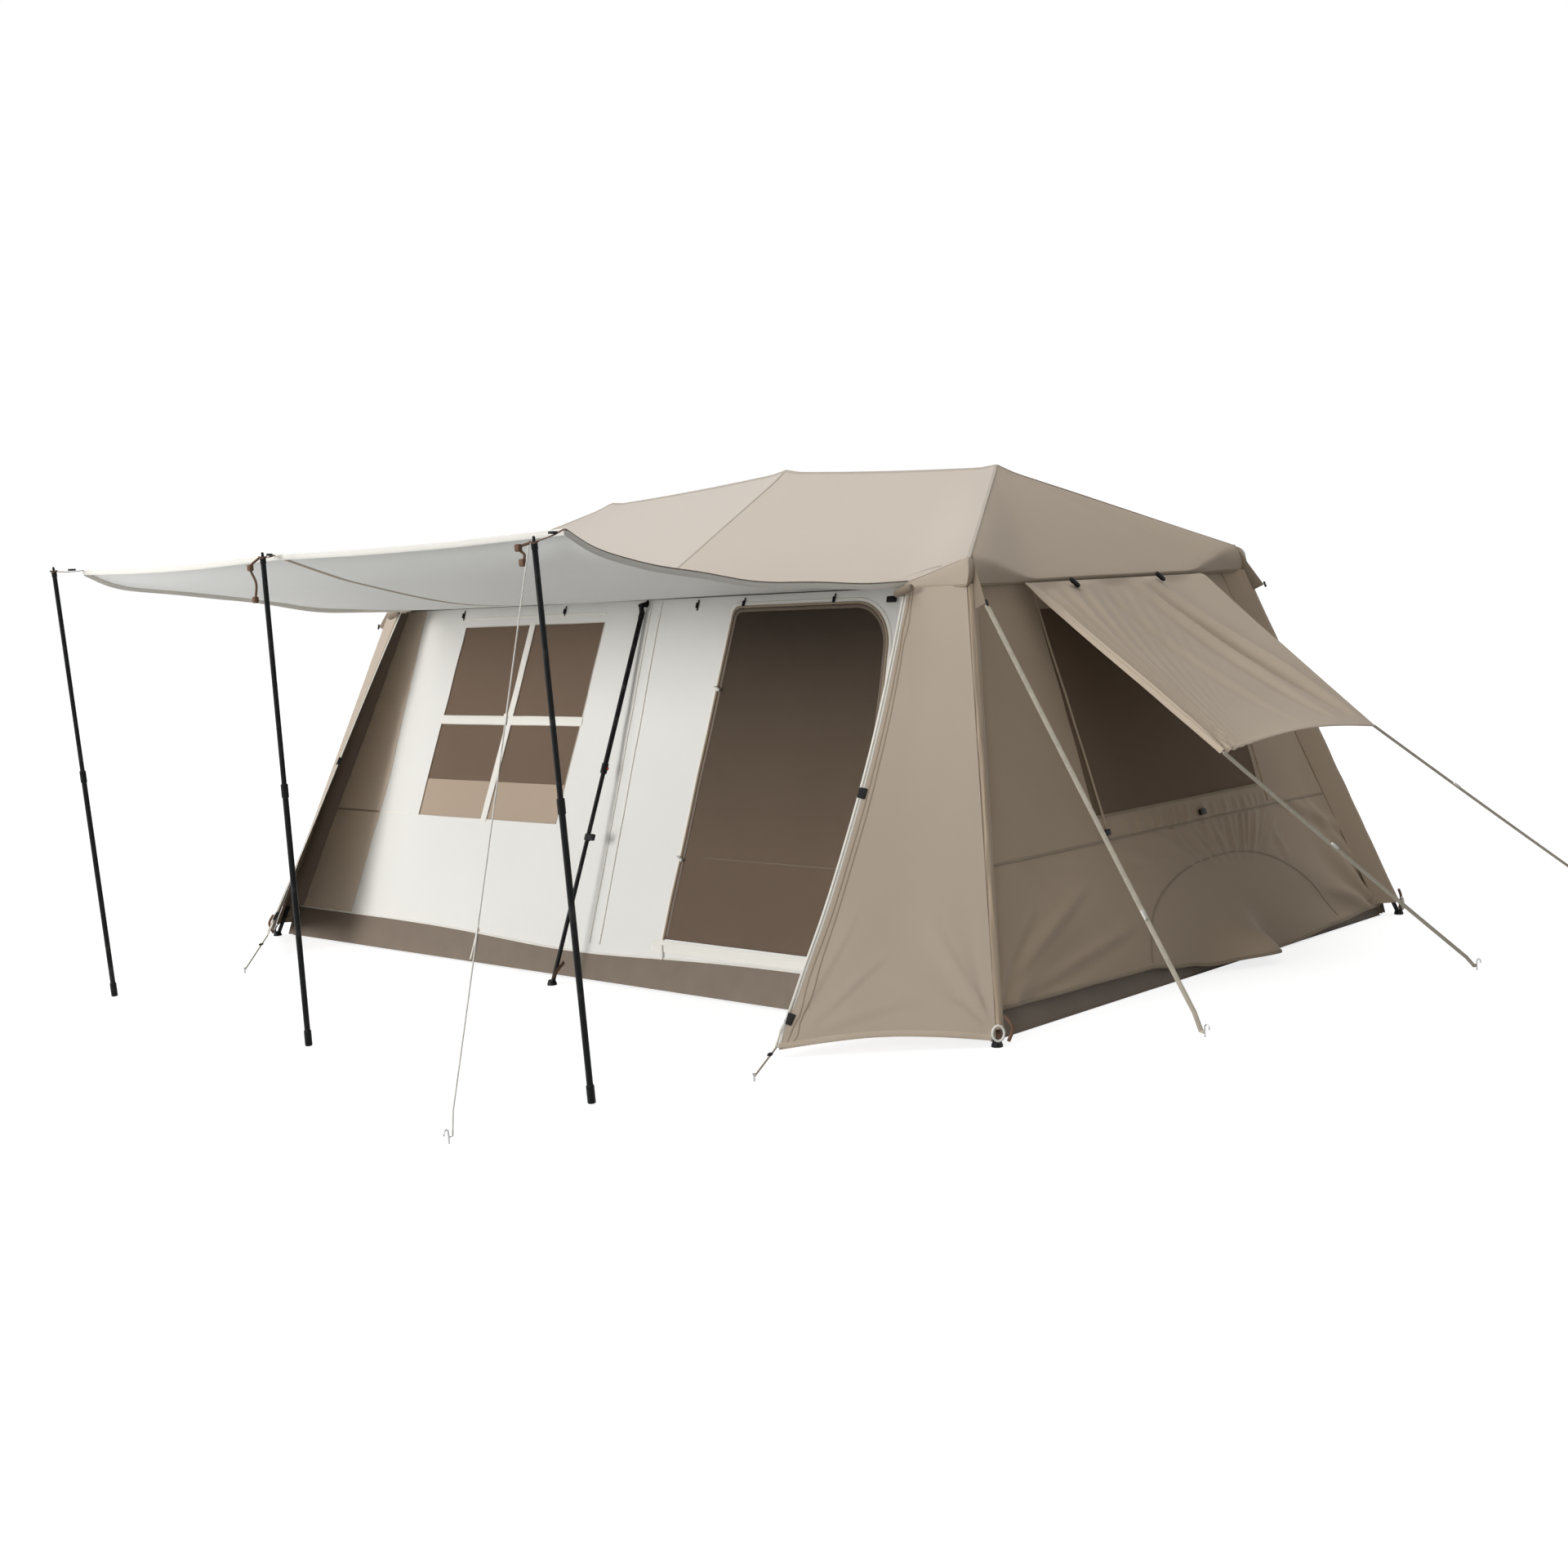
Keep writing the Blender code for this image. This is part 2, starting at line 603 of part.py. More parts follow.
def make_frame():
    middle_arms = [LIMBS[0, side].out for side in (-1, 1)]
    ridge_ways = [point(1, 0, 0), point(-1, 0, 0)]
    middle_hub = make_hub("ridge_hub_middle", point(0, 0, MIDDLE_HUB_Z), ridge_ways + middle_arms)
    hubs = {0: middle_hub}
    for end, word in ((-1, "left"), (1, "right")):
        pole = make_ridge_pole(f"ridge_pole_{word}", end, middle_hub)
        ways = [point(-end, 0, 0)] + [LIMBS[end, side].out for side in (-1, 1)]
        name = f"ridge_hub_{word}"
        hubs[end] = make_hub(name, point(end * RIDGE_HALF, 0, END_HUB_Z), ways, pole)
        JOINT_POINTS[name] = point(end * (RIDGE_HALF - HUB_PIVOT_RADIUS), 0, END_HUB_Z)
    for (end, side), limb in LIMBS.items():
        arm = make_arm(limb, hubs[end])
        upper, seat = make_upper_leg(limb, arm)
        make_button(limb, seat, upper)
        make_lower_leg(limb, upper)


def make_awning_poles():
    for word, (x, y) in POLE_FEET.items():
        pivot = point(x, y, POLE_PIVOT_Z)
        span = point(*POLE_TOPS[word]) - pivot
        frame = axes_frame(pivot, point(1, 0, 0), span)
        bore = POLE_UPPER_RADIUS + GAP
        edge = 0.002
        low = -POLE_PIVOT_Z / span.normalized().z + 2 * edge
        profile = [
            (0, POLE_PLUG_END), (bore, POLE_PLUG_END), (bore, POLE_JOINT),
            (POLE_COLLAR_RADIUS - edge, POLE_JOINT), (POLE_COLLAR_RADIUS, POLE_JOINT - edge),
            (POLE_COLLAR_RADIUS, POLE_JOINT - POLE_COLLAR_LENGTH),
            (POLE_LOWER_RADIUS, POLE_JOINT - POLE_COLLAR_LENGTH - edge),
            (POLE_LOWER_RADIUS, POLE_FOOT_LENGTH + 2 * edge), (POLE_FOOT_RADIUS, POLE_FOOT_LENGTH),
            (POLE_FOOT_RADIUS, low + edge), (POLE_FOOT_RADIUS - edge, low), (0, low)]
        name = f"awning_pole_lower_{word}"
        lower = add_part(name, turned_mesh(name, profile), frame, "pole_black")
        turn(lower)
        top = span.length
        start = POLE_JOINT - POLE_ENGAGEMENT
        inner = POLE_UPPER_RADIUS - POLE_WALL
        ring = POLE_UPPER_RADIUS + POLE_RING_PROUD
        ring_top = top - POLE_SPIKE_LENGTH - edge
        ring_low = top - POLE_SPIKE_LENGTH - POLE_RING_HEIGHT
        hollow = ring_low - POLE_RING_HEIGHT
        profile = [
            (0, top), (POLE_SPIKE_RADIUS, top - edge), (POLE_SPIKE_RADIUS + edge / 2, ring_top + edge),
            (ring, ring_top), (ring, ring_low), (POLE_UPPER_RADIUS, ring_low - edge),
            (POLE_UPPER_RADIUS, start), (inner, start), (inner, hollow), (0, hollow)]
        name = f"awning_pole_upper_{word}"
        upper = add_part(name, turned_mesh(name, profile), frame, "pole_black", lower)
        turn(upper)


# Wall panels lie in sloping planes; these give a plane's placement and its own coordinates.
class WallPlane:
    def __init__(self, outward, top_reach, base_reach):
        self.outward = outward
        self.across = point(0, 0, 1).cross(outward)
        self.base = outward * base_reach + point(0, 0, WALL_BASE_Z)
        self.up = outward * top_reach + point(0, 0, WALL_TOP_Z) - self.base
        self.height = self.up.length
        self.up.normalize()
        self.normal = self.across.cross(self.up)
        self.placement = axes_frame(self.base, self.across, self.normal)

    def rise(self, z):
        """Distance up the slope to a height."""
        return (z - WALL_BASE_Z) / self.up.z

    def lowered(self, depth):
        """Placement of a sheet whose middle lies this far inside the outer face."""
        return self.placement @ Matrix.Translation((0, 0, -depth))


FRONT = WallPlane(point(0, -1, 0), FRONT_WALL_TOP_Y, FRONT_WALL_BASE_Y)
BACK = WallPlane(point(0, 1, 0), FRONT_WALL_TOP_Y, FRONT_WALL_BASE_Y)
RIGHT = WallPlane(point(1, 0, 0), END_WALL_TOP_X, END_WALL_BASE_X)
LEFT = WallPlane(point(-1, 0, 0), END_WALL_TOP_X, END_WALL_BASE_X)


def between(pair, share):
    return pair[0] + (pair[1] - pair[0]) * share


def slanted_quad(plane, left_x, right_x, low_z, high_z, z_span):
    """A four-cornered outline whose sides lean between two positions given for z_span."""
    corners = []
    for z, sides in ((low_z, (left_x, right_x)), (high_z, (right_x, left_x))):
        share = (z - z_span[0]) / (z_span[1] - z_span[0])
        corners += [(between(side, share), plane.rise(z)) for side in sides]
    return corners


def window_panes():
    panes = []
    half = WINDOW_BAR_WIDTH / 2
    left_bar = (WINDOW_BAR_X[0] - half, WINDOW_BAR_X[1] - half)
    right_bar = (WINDOW_BAR_X[0] + half, WINDOW_BAR_X[1] + half)
    for low, high in ((WINDOW_Z[0], WINDOW_BAR_Z - half), (WINDOW_BAR_Z + half, WINDOW_Z[1])):
        panes.append(slanted_quad(FRONT, WINDOW_LEFT_X, left_bar, low, high, WINDOW_Z))
        panes.append(slanted_quad(FRONT, right_bar, WINDOW_RIGHT_X, low, high, WINDOW_Z))
    return panes


def door_outline(inset):
    low = FRONT.rise(DOOR_Z[0]) + inset
    high = FRONT.rise(DOOR_Z[1]) - inset
    left = (DOOR_LEFT_X[0] + inset, DOOR_LEFT_X[1] + inset)
    right = (DOOR_RIGHT_X[0] - inset, DOOR_RIGHT_X[1] - inset)
    big = DOOR_CORNER_RADIUS - inset
    small = DOOR_SMALL_RADIUS
    outline = [(left[0], low), (right[0], low)]
    outline += arc(right[1] - big, high - big, big, 0, 90, 8)
    outline += arc(left[1] + small, high - small, small, 90, 180, 3)
    return outline


def wall_outline(base_half, top_half, plane):
    return [(-base_half, 0), (base_half, 0), (top_half, plane.height), (-top_half, plane.height)]


def make_walls():
    base_half = END_WALL_BASE_X - CLOTH_GAP
    top_half = END_WALL_TOP_X - CLOTH_GAP
    notch = [(ELBOW_NOTCH_HALF, FRONT.height), (ELBOW_NOTCH_HALF, FRONT.height - ELBOW_NOTCH_DEPTH),
             (-ELBOW_NOTCH_HALF, FRONT.height - ELBOW_NOTCH_DEPTH), (-ELBOW_NOTCH_HALF, FRONT.height)]
    whole = wall_outline(base_half, top_half, FRONT)
    whole = whole[:3] + notch + whole[3:]
    mesh = plate_mesh("front_wall", [whole, *window_panes(), door_outline(0)], CLOTH)
    front = add_part("front_wall", mesh, FRONT.lowered(CLOTH / 2), "wall_cream")
    add_part("back_wall", plate_mesh("back_wall", [whole], CLOTH), BACK.lowered(CLOTH / 2),
             "fly_khaki")
    left = (WINDOW_LEFT_X[0] - WINDOW_LAP, WINDOW_LEFT_X[1] - WINDOW_LAP)
    right = (WINDOW_RIGHT_X[0] + WINDOW_LAP, WINDOW_RIGHT_X[1] + WINDOW_LAP)
    pane = slanted_quad(FRONT, left, right, WINDOW_Z[0] - WINDOW_LAP, WINDOW_Z[1] + WINDOW_LAP,
                        WINDOW_Z)
    depth = CLOTH + GAP + MESH_CLOTH / 2
    add_part("front_window", plate_mesh("front_window", [pane], MESH_CLOTH), FRONT.lowered(depth),
             "mesh_brown", front)
    hinge = FRONT.base + FRONT.up * (FRONT.rise(DOOR_Z[0]) + DOOR_GAP)
    outline = [(x, y - FRONT.rise(DOOR_Z[0]) - DOOR_GAP) for x, y in door_outline(DOOR_GAP)]
    place = axes_frame(hinge, FRONT.across, FRONT.normal)
    mesh = plate_mesh("door_panel", [outline], CLOTH)
    mesh.transform(Matrix.Translation((0, 0, -CLOTH / 2)))
    add_part("door_panel", mesh, place, "mesh_brown")

    inside = CLOTH + GAP + 0.002
    base_half = FRONT_WALL_BASE_Y - inside
    top_half = FRONT_WALL_TOP_Y - inside
    for word, plane, way in (("left", LEFT, -1), ("right", RIGHT, 1)):
        ends = sorted((way * END_WINDOW_Y[0], way * END_WINDOW_Y[1]))
        hole = [(ends[0], plane.rise(END_WINDOW_Z[0])), (ends[1], plane.rise(END_WINDOW_Z[0])),
                (ends[1], plane.rise(END_WINDOW_Z[1])), (ends[0], plane.rise(END_WINDOW_Z[1]))]
        outline = wall_outline(base_half, top_half, plane)
        wall = add_part(f"end_wall_{word}", plate_mesh(f"end_wall_{word}", [outline, hole], CLOTH),
                        plane.lowered(CLOTH / 2), "fly_khaki")
        lap = WINDOW_LAP
        pane = [(hole[0][0] - lap, hole[0][1] - lap), (hole[1][0] + lap, hole[1][1] - lap),
                (hole[2][0] + lap, hole[2][1] + lap), (hole[3][0] - lap, hole[3][1] + lap)]
        add_part(f"end_window_{word}", plate_mesh(f"end_window_{word}", [pane], MESH_CLOTH),
                 plane.lowered(depth), "mesh_brown", wall)


def make_groundsheet():
    mesh = bpy.data.meshes.new("groundsheet")
    shape = bmesh.new()
    size = Matrix.Diagonal((2 * GROUND_X, 2 * GROUND_Y, GROUND_THICKNESS, 1))
    bmesh.ops.create_cube(shape, size=1, matrix=size)
    shape.to_mesh(mesh)
    shape.free()
    add_part("groundsheet", mesh, Matrix.Translation((0, 0, GROUND_THICKNESS / 2)), "ground_brown")


def sheet_part(name, surface, columns, rows, finish, origin=None, parent=None):
    """A cloth sheet: a grid bent to surface(u, v), with u and v from 0 to 1, and thickened."""
    mesh = bpy.data.meshes.new(name)
    shape = bmesh.new()
    bmesh.ops.create_grid(shape, x_segments=columns, y_segments=rows, size=0.5)
    start = origin if origin is not None else point(0, 0, 0)
    for corner in shape.verts:
        corner.co = surface(corner.co.x + 0.5, corner.co.y + 0.5) - start
    bmesh.ops.recalc_face_normals(shape, faces=shape.faces)
    shape.to_mesh(mesh)
    shape.free()
    smooth(mesh)
    part = add_part(name, mesh, Matrix.Translation(start), finish, parent)
    thick = part.modifiers.new("cloth", "SOLIDIFY")
    thick.thickness = CLOTH
    thick.offset = 0
    return part


# Roof
def ease(share):
    """A smooth step from 0 to 1."""
    share = max(0.0, min(1.0, share))
    return share * share * (3 - 2 * share)


def eave_height(u):
    """Height of the eave at u from -1 to 1 along it: low in the middle, raised by the elbows."""
    return EAVE_MIDDLE_Z + (EAVE_CORNER_Z - EAVE_MIDDLE_Z) * ease(
        (abs(u) - EAVE_RISE_START) / (1 - EAVE_RISE_START))


def slope_point(u, share, side):
    """A point of the front (side -1) or back (side 1) roof slope; u runs from -1 to 1."""
    half = RIDGE_HALF + (EAVE_X - RIDGE_HALF) * share - CLOTH_GAP
    ridge_z = RIDGE_CLOTH_MIDDLE_Z + (RIDGE_CLOTH_END_Z - RIDGE_CLOTH_MIDDLE_Z) * abs(u)
    z = ridge_z + (eave_height(u) - ridge_z) * share
    z -= ROOF_SAG * math.sin(math.pi * share) * math.sin(math.pi * abs(u))
    return point(u * half, side * (CLOTH_GAP + (EAVE_Y - CLOTH_GAP) * share), z)


def along(profile, y):
    """Height of a drawn profile at y, on straight runs between its points."""
    for (y0, z0), (y1, z1) in zip(profile, profile[1:]):
        if y >= y1:
            return z0 + (z1 - z0) * (y - y0) / (y1 - y0)
    return profile[-1][1]


def awning_point(u, share):
    front = AWNING_FRONT_Y + AWNING_FRONT_BOW * (1 - abs(u))
    y = -(EAVE_Y + (front - EAVE_Y) * share)
    narrow = ease(share / 0.04)
    half = EAVE_X - CLOTH_GAP + (AWNING_HALF - EAVE_X + CLOTH_GAP) * narrow
    edge = abs(u) ** 1.5
    z = along(AWNING_MIDDLE, y) * (1 - edge) + along(AWNING_SIDE, y) * edge
    z = z * narrow + eave_height(u) * (1 - narrow)
    z -= AWNING_SAG * math.sin(math.pi * abs(u)) * math.sin(0.75 * math.pi * share)
    return point(u * half, y, z)


def front_roof_surface(u, v):
    u = 2 * u - 1
    if v <= SLOPE_SHARE:
        return slope_point(u, v / SLOPE_SHARE, -1)
    return awning_point(u, (v - SLOPE_SHARE) / (1 - SLOPE_SHARE))


def back_roof_surface(u, v):
    u = 2 * u - 1
    split = 5 / 6
    if v <= split:
        return slope_point(u, v / split, 1)
    share = (v - split) / (1 - split)
    edge = slope_point(u, 1, 1)
    return edge + point(0, BACK_OVERHANG, -BACK_OVERHANG_DROP) * share


def hip_surface(end):
    def surface(u, v):
        share = HIP_TOP_SHARE + (1 - HIP_TOP_SHARE) * v
        u = 2 * u - 1
        across = EAVE_Y * share - CLOTH_GAP
        corner = RIDGE_CLOTH_END_Z + (EAVE_CORNER_Z - RIDGE_CLOTH_END_Z) * share
        low = HIP_EAVE_DROP * share * (1 - ease((abs(u) - 0.6) / 0.4))
        x = RIDGE_HALF + (EAVE_X - RIDGE_HALF) * share + CLOTH_GAP
        return point(end * x, u * across, corner - low)
    return surface


def make_roof():
    sheet_part("roof_front_and_awning", front_roof_surface, 16, 20, "fly_khaki")
    sheet_part("roof_back", back_roof_surface, 12, 6, "fly_khaki")
    for end, word in ((-1, "left"), (1, "right")):
        hip = sheet_part(f"roof_hip_{word}", hip_surface(end), 10, 5, "fly_khaki")
        for side, side_word in ((-1, "front"), (1, "back")):
            corner = hip_surface(end)((side + 1) / 2, 1)
            root = corner + point(-end * GUSSET_ROOT[0], -side * GUSSET_ROOT[1], GUSSET_ROOT[2])
            tip = point(end * CORNER_GUY_TOP[0], -side * CORNER_GUY_TOP[1], CORNER_GUY_TOP[2])
            inner = corner + point(end * GUSSET_INNER[0], side * GUSSET_INNER[1], GUSSET_INNER[2])
            place = axes_frame(root, tip - root, (tip - root).cross(inner - root))
            back = place.inverted()
            triangle = [tuple((back @ spot)[:2]) for spot in (root, inner, tip)]
            mesh = plate_mesh("gusset", [triangle], CLOTH)
            gusset = add_tool(f"gusset_{word}_{side_word}", mesh, place)
            boolean(hip, gusset, "UNION")


# Side wings of the awning
def wing_surface(end):
    limb = LIMBS[end, -1]

    def surface(u, v):
        """u runs from the leg to the free edge, v from the top down."""
        z = WING_TOP_Z + (WING_LOW_Z - WING_TOP_Z) * v
        share = (limb.elbow.z - z) / limb.elbow.z
        leg = limb.elbow + (limb.foot - limb.elbow) * share
        leg = leg + point(-end * 0.004, -WING_LEG_OFFSET, 0)
        top = point(end * WING_TOP_X, WING_TOP_Y, WING_TOP_Z)
        free = top.lerp(point(end * WING_TIP[0], *WING_TIP[1:]), v)
        free += point(0, WING_BOW * math.sin(math.pi * v), 0)
        spot = leg.lerp(free, u)
        wave = WING_FOLD * math.sin(math.pi * u) * math.sin(2.5 * math.pi * u + 1.2 * v) * v
        rise = 0.03 * math.sin(math.pi * u) * v ** 4
        return spot + point(end * wave, wave * 0.5, rise)
    return surface


def make_wings():
    for end, word in ((-1, "left"), (1, "right")):
        sheet_part(f"wing_{word}", wing_surface(end), 8, 10, "fly_khaki")


def flap_surface(end, angle):
    """u runs across the flap, v from its top edge down its length."""
    way = math.radians(angle)
    slack = 0.030 if angle > 30 else 0.004

    def surface(u, v):
        half = FLAP_HALF_WIDTH + (FLAP_BOTTOM_HALF_WIDTH - FLAP_HALF_WIDTH) * v
        y = (2 * u - 1) * half
        length = FLAP_LENGTH * v
        belly = slack * math.sin(math.pi * v) * math.sin(math.pi * u)
        x = FLAP_PIN_X + length * math.sin(way) - belly * math.cos(way)
        z = FLAP_PIN_Z - length * math.cos(way) - belly * math.sin(way)
        z += slack * 1.2 * math.sin(math.pi * u) * v ** 6
        return point(end * x, y, z)
    return surface


def make_flaps():
    for end, word, angle in ((-1, "left", FLAP_CLOSED_ANGLE), (1, "right", FLAP_OPEN_ANGLE)):
        sheet_part(f"window_flap_{word}", flap_surface(end, angle), 8, 7, "fly_khaki",
                   origin=point(end * FLAP_PIN_X, 0, FLAP_PIN_Z))


def peg_route(x, y, lean):
    """A round peg's shaft above the ground and its hook, which opens away from the guy."""
    route = [point(x, y, 0), point(x, y, PEG_HEIGHT * 0.5), point(x, y, PEG_HEIGHT - 0.010)]
    for i in range(1, 7):
        a = math.pi * i / 6
        route.append(point(x, y, PEG_HEIGHT - 0.010) + lean * 0.009 * (1 - math.cos(a))
                     + point(0, 0, 0.009 * math.sin(a)))
    route.append(route[-1] + point(0, 0, -0.008))
    return route


def make_guy(name, top, spot):
    """A tensioned guy from a corner of cloth or a pole to its peg, and the peg."""
    peg_spot = point(*PEG_SPOTS[spot], GUY_HEIGHT_AT_PEG)
    top = point(*top)
    plan = point(peg_spot.x - top.x, peg_spot.y - top.y, 0).normalized()
    end = peg_spot - plan * (PEG_RADIUS + GAP)
    count = 8
    route = []
    for i in range(count + 1):
        share = i / count
        place = top.lerp(end, share)
        place.z -= GUY_SAG * 4 * share * (1 - share)
        route.append(place)
    route[-1] = end
    route[-2] = end - plan * GUY_END_LENGTH
    origin = end
    mesh = rod_mesh(name, [place - origin for place in route], GUY_RADIUS)
    add_part(name, mesh, Matrix.Translation(origin), "guy_cord")
    peg = f"peg_{spot}"
    foot = point(*PEG_SPOTS[spot], 0)
    shaft = rod_mesh(peg, [place - foot for place in peg_route(*PEG_SPOTS[spot], plan)], PEG_RADIUS)
    add_part(peg, shaft, Matrix.Translation(foot), "peg_steel")


def make_guys():
    start = point(*CORNER_GUY_TOP) + point(0.0035, 0, -0.006)
    make_guy("guy_corner", start, "corner")
    open_flap = flap_surface(1, FLAP_OPEN_ANGLE)
    for name, u in (("guy_flap_near", 0), ("guy_flap_far", 1)):
        corner = open_flap(u, 1)
        make_guy(name, corner + point(0.006, 0, -0.004), name[4:])
    pole = point(*POLE_TOPS["right"])
    make_guy("guy_pole", pole + point(0, -0.0215, -0.030), "pole")


def settle_round_parts():
    """Turned parts get smooth sides with sharp rims, and each origin goes to its part's joint."""
    graph = bpy.context.evaluated_depsgraph_get()
    turned = [part for part in PARTS.objects if "turn" in part.modifiers]
    meshes = [bpy.data.meshes.new_from_object(part.evaluated_get(graph)) for part in turned]
    for part, mesh in zip(turned, meshes):
        place = WORLD[part.name]
        if part.name in JOINT_POINTS:
            settled = place.copy()
            settled.translation = JOINT_POINTS[part.name]
            mesh.transform(settled.inverted() @ place)
            WORLD[part.name] = settled
        part.modifiers.clear()
        part.data = mesh
        smooth(mesh)
    for part in PARTS.objects:
        place = WORLD[part.name]
        part.matrix_local = WORLD[part.parent.name].inverted() @ place if part.parent else place


make_frame()
make_awning_poles()
make_groundsheet()
make_walls()
make_roof()
make_wings()
make_flaps()
make_guys()
settle_round_parts()
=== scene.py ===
"""Ridge tent with a folding frame: cloth, trim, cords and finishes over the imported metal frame."""

import math

import bmesh
import bpy
from bpy.props import FloatProperty, FloatVectorProperty, PointerProperty
from bpy.types import Operator, Panel, PropertyGroup
from mathutils import Matrix, Vector, noise


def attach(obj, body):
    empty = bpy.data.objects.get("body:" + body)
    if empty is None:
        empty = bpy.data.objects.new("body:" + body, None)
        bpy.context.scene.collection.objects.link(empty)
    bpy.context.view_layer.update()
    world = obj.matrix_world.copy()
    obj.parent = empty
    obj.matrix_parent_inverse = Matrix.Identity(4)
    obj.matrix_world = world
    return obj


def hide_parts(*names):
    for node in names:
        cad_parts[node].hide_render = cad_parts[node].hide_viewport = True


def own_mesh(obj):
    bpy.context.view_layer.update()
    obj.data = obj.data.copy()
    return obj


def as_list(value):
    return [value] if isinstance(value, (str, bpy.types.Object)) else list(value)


bl_info = {
    "name": "Ridge Tent",
    "version": (1, 0, 0),
    "blender": (4, 5, 0),
    "location": "View3D > Sidebar > Tent",
    "description": "Dresses a folding tent frame with its cloth, trim, cords and finishes",
    "category": "Object",
}

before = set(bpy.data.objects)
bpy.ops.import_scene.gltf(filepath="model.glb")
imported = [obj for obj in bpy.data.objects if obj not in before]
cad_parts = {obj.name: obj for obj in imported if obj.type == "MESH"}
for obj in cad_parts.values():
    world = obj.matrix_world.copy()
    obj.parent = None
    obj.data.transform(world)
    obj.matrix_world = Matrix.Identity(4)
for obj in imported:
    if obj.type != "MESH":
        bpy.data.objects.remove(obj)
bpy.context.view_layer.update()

# The photograph's camera: 1920 x 1920 pixels
CAMERA_PLACE = (6.4633, -6.8387, 1.6229)
CAMERA_YAW, CAMERA_PITCH, CAMERA_ROLL = -43.893, -5.661, -2.931
CAMERA_LENS = 45.334

# Frame points that the cloth hangs on, in metres
RIDGE_HALF = 1.24
RIDGE_CLOTH_MIDDLE_Z = 2.165
RIDGE_CLOTH_END_Z = 2.092
CORNER_ELBOW = (1.805, 0.95, 1.672)
CORNER_FOOT = (2.29, 1.50, 0.0)
MIDDLE_ELBOW = (0.0, 0.955, 1.568)
MIDDLE_FOOT = (0.0, 1.60, 0.0)
EAVE_X = 1.83
EAVE_Y = 0.96
EAVE_CORNER_Z = 1.703
EAVE_MIDDLE_Z = 1.606
EAVE_RISE_START = 0.78
ROOF_SAG = 0.016
RIDGE_SAG = 0.007
ROOF_RIPPLE = 0.002
ROOF_DROP = 0.002       # the cloth's middle lies this far below the drawn outline
HUB_LIFT, HUB_SPREAD = 0.010, 0.05
HIP_EAVE_DROP = 0.089
VALANCE_Z = 1.597
SLOPE_SHARE = 0.37      # of the front sheet is roof, and the rest is awning
BACK_SHARE = 0.85       # of the back sheet is roof, and the rest hangs to the wall
HIP_SHARE = 0.86        # the same of a hip

WALL_TOP_Z = 1.600
WALL_BASE_Z = 0.006
# How far out the walls stand at their foot and head, and half of their cloth's length there
LONG_WALL_Y = (1.455, 0.925)
END_WALL_X = (2.245, 1.790)
LONG_WALL_HALF = (2.235, 1.785)
END_WALL_HALF = (1.450, 0.922)
CLOTH_INSET = 0.001     # of the cloth's middle from the wall's plane
NET_INSET = 0.0032
NET_SPARE = 0.02        # net that runs on behind the cloth round a window
SKIRT_HALF = 2.24

# Awning outlines, as (y, z)
AWNING_MIDDLE = [(-0.96, 1.606), (-1.40, 1.609), (-1.815, 1.615), (-2.035, 1.640),
                 (-2.445, 1.730), (-2.567, 1.766), (-2.790, 1.842)]
AWNING_SIDE = [(-0.96, 1.622), (-1.40, 1.627), (-1.90, 1.658), (-2.20, 1.700),
               (-2.50, 1.755), (-2.62, 1.790), (-2.730, 1.846)]
AWNING_HALF = 1.60
AWNING_FRONT_Y = 2.73
AWNING_FRONT_BOW = 0.06
AWNING_SAG = 0.018
AWNING_LEFT_LIFT = 0.040
AWNING_WAIST = 0.035        # how far its sides pull in
AWNING_ROOT = 0.05          # the share of it over which the eave turns into it
AWNING_RIM_WAVE = 0.004
AWNING_CORNER_PULL = 0.005

GUSSET_ROOT = (-0.008, -0.022, 0.014)
GUSSET_LOW = (0.022, 0.040, -0.203)
CORNER_GUY_TOP = (1.932, -1.002, 1.530)

WING_TOP = (1.622, -1.085, 1.600)
WING_LOW_Z = 0.035
WING_TIPS = {"left": (-1.750, -1.883, 0.111), "right": (1.743, -2.037, 0.040)}
WING_STAKES = {"left": (-1.51, -2.16), "right": (1.90, -2.31)}
WING_LEG_OFFSET = (0.018, 0.026, 0)
WING_BOW = 0.045
WING_FOLD = 0.012
WING_SIZE = (0.65, 1.6)     # roughly, at the foot and up
WING_CREASE_WIDTH = 0.020

WINDOW_Z = (0.63, 1.51)
WINDOW_LEFT_X = (-1.36, -1.28)
WINDOW_RIGHT_X = (-0.34, -0.26)
WINDOW_BAR_X = (-0.855, -0.765)
WINDOW_BAR_Z = 1.075
WINDOW_LIGHT_Z = 0.79     # below this the net is backed by pale cloth
SIDE_PANEL_EDGE = [(0.0, 1.78), (0.80, 1.66), (1.60, 1.62)]     # (z, x) of the side panels
SLEEVE_RADIUS = 0.028
DOOR_Z = (0.205, 1.548)
DOOR_LEFT_X = (0.49, 0.56)
DOOR_RIGHT_X = (1.52, 1.44)
DOOR_CORNER_RADIUS = 0.20
DOOR_SMALL_RADIUS = 0.03
END_WINDOW_Y = (-0.53, 0.70)
END_WINDOW_Z = (0.68, 1.49)

# (y, z) of the end walls' lower edge
END_HEM = [(-1.46, 0.10), (-0.90, 0.09), (-0.45, 0.082), (-0.20, 0.05), (0.0, 0.02),
           (0.23, 0.004), (0.60, 0.010), (1.00, 0.03), (1.46, 0.05)]
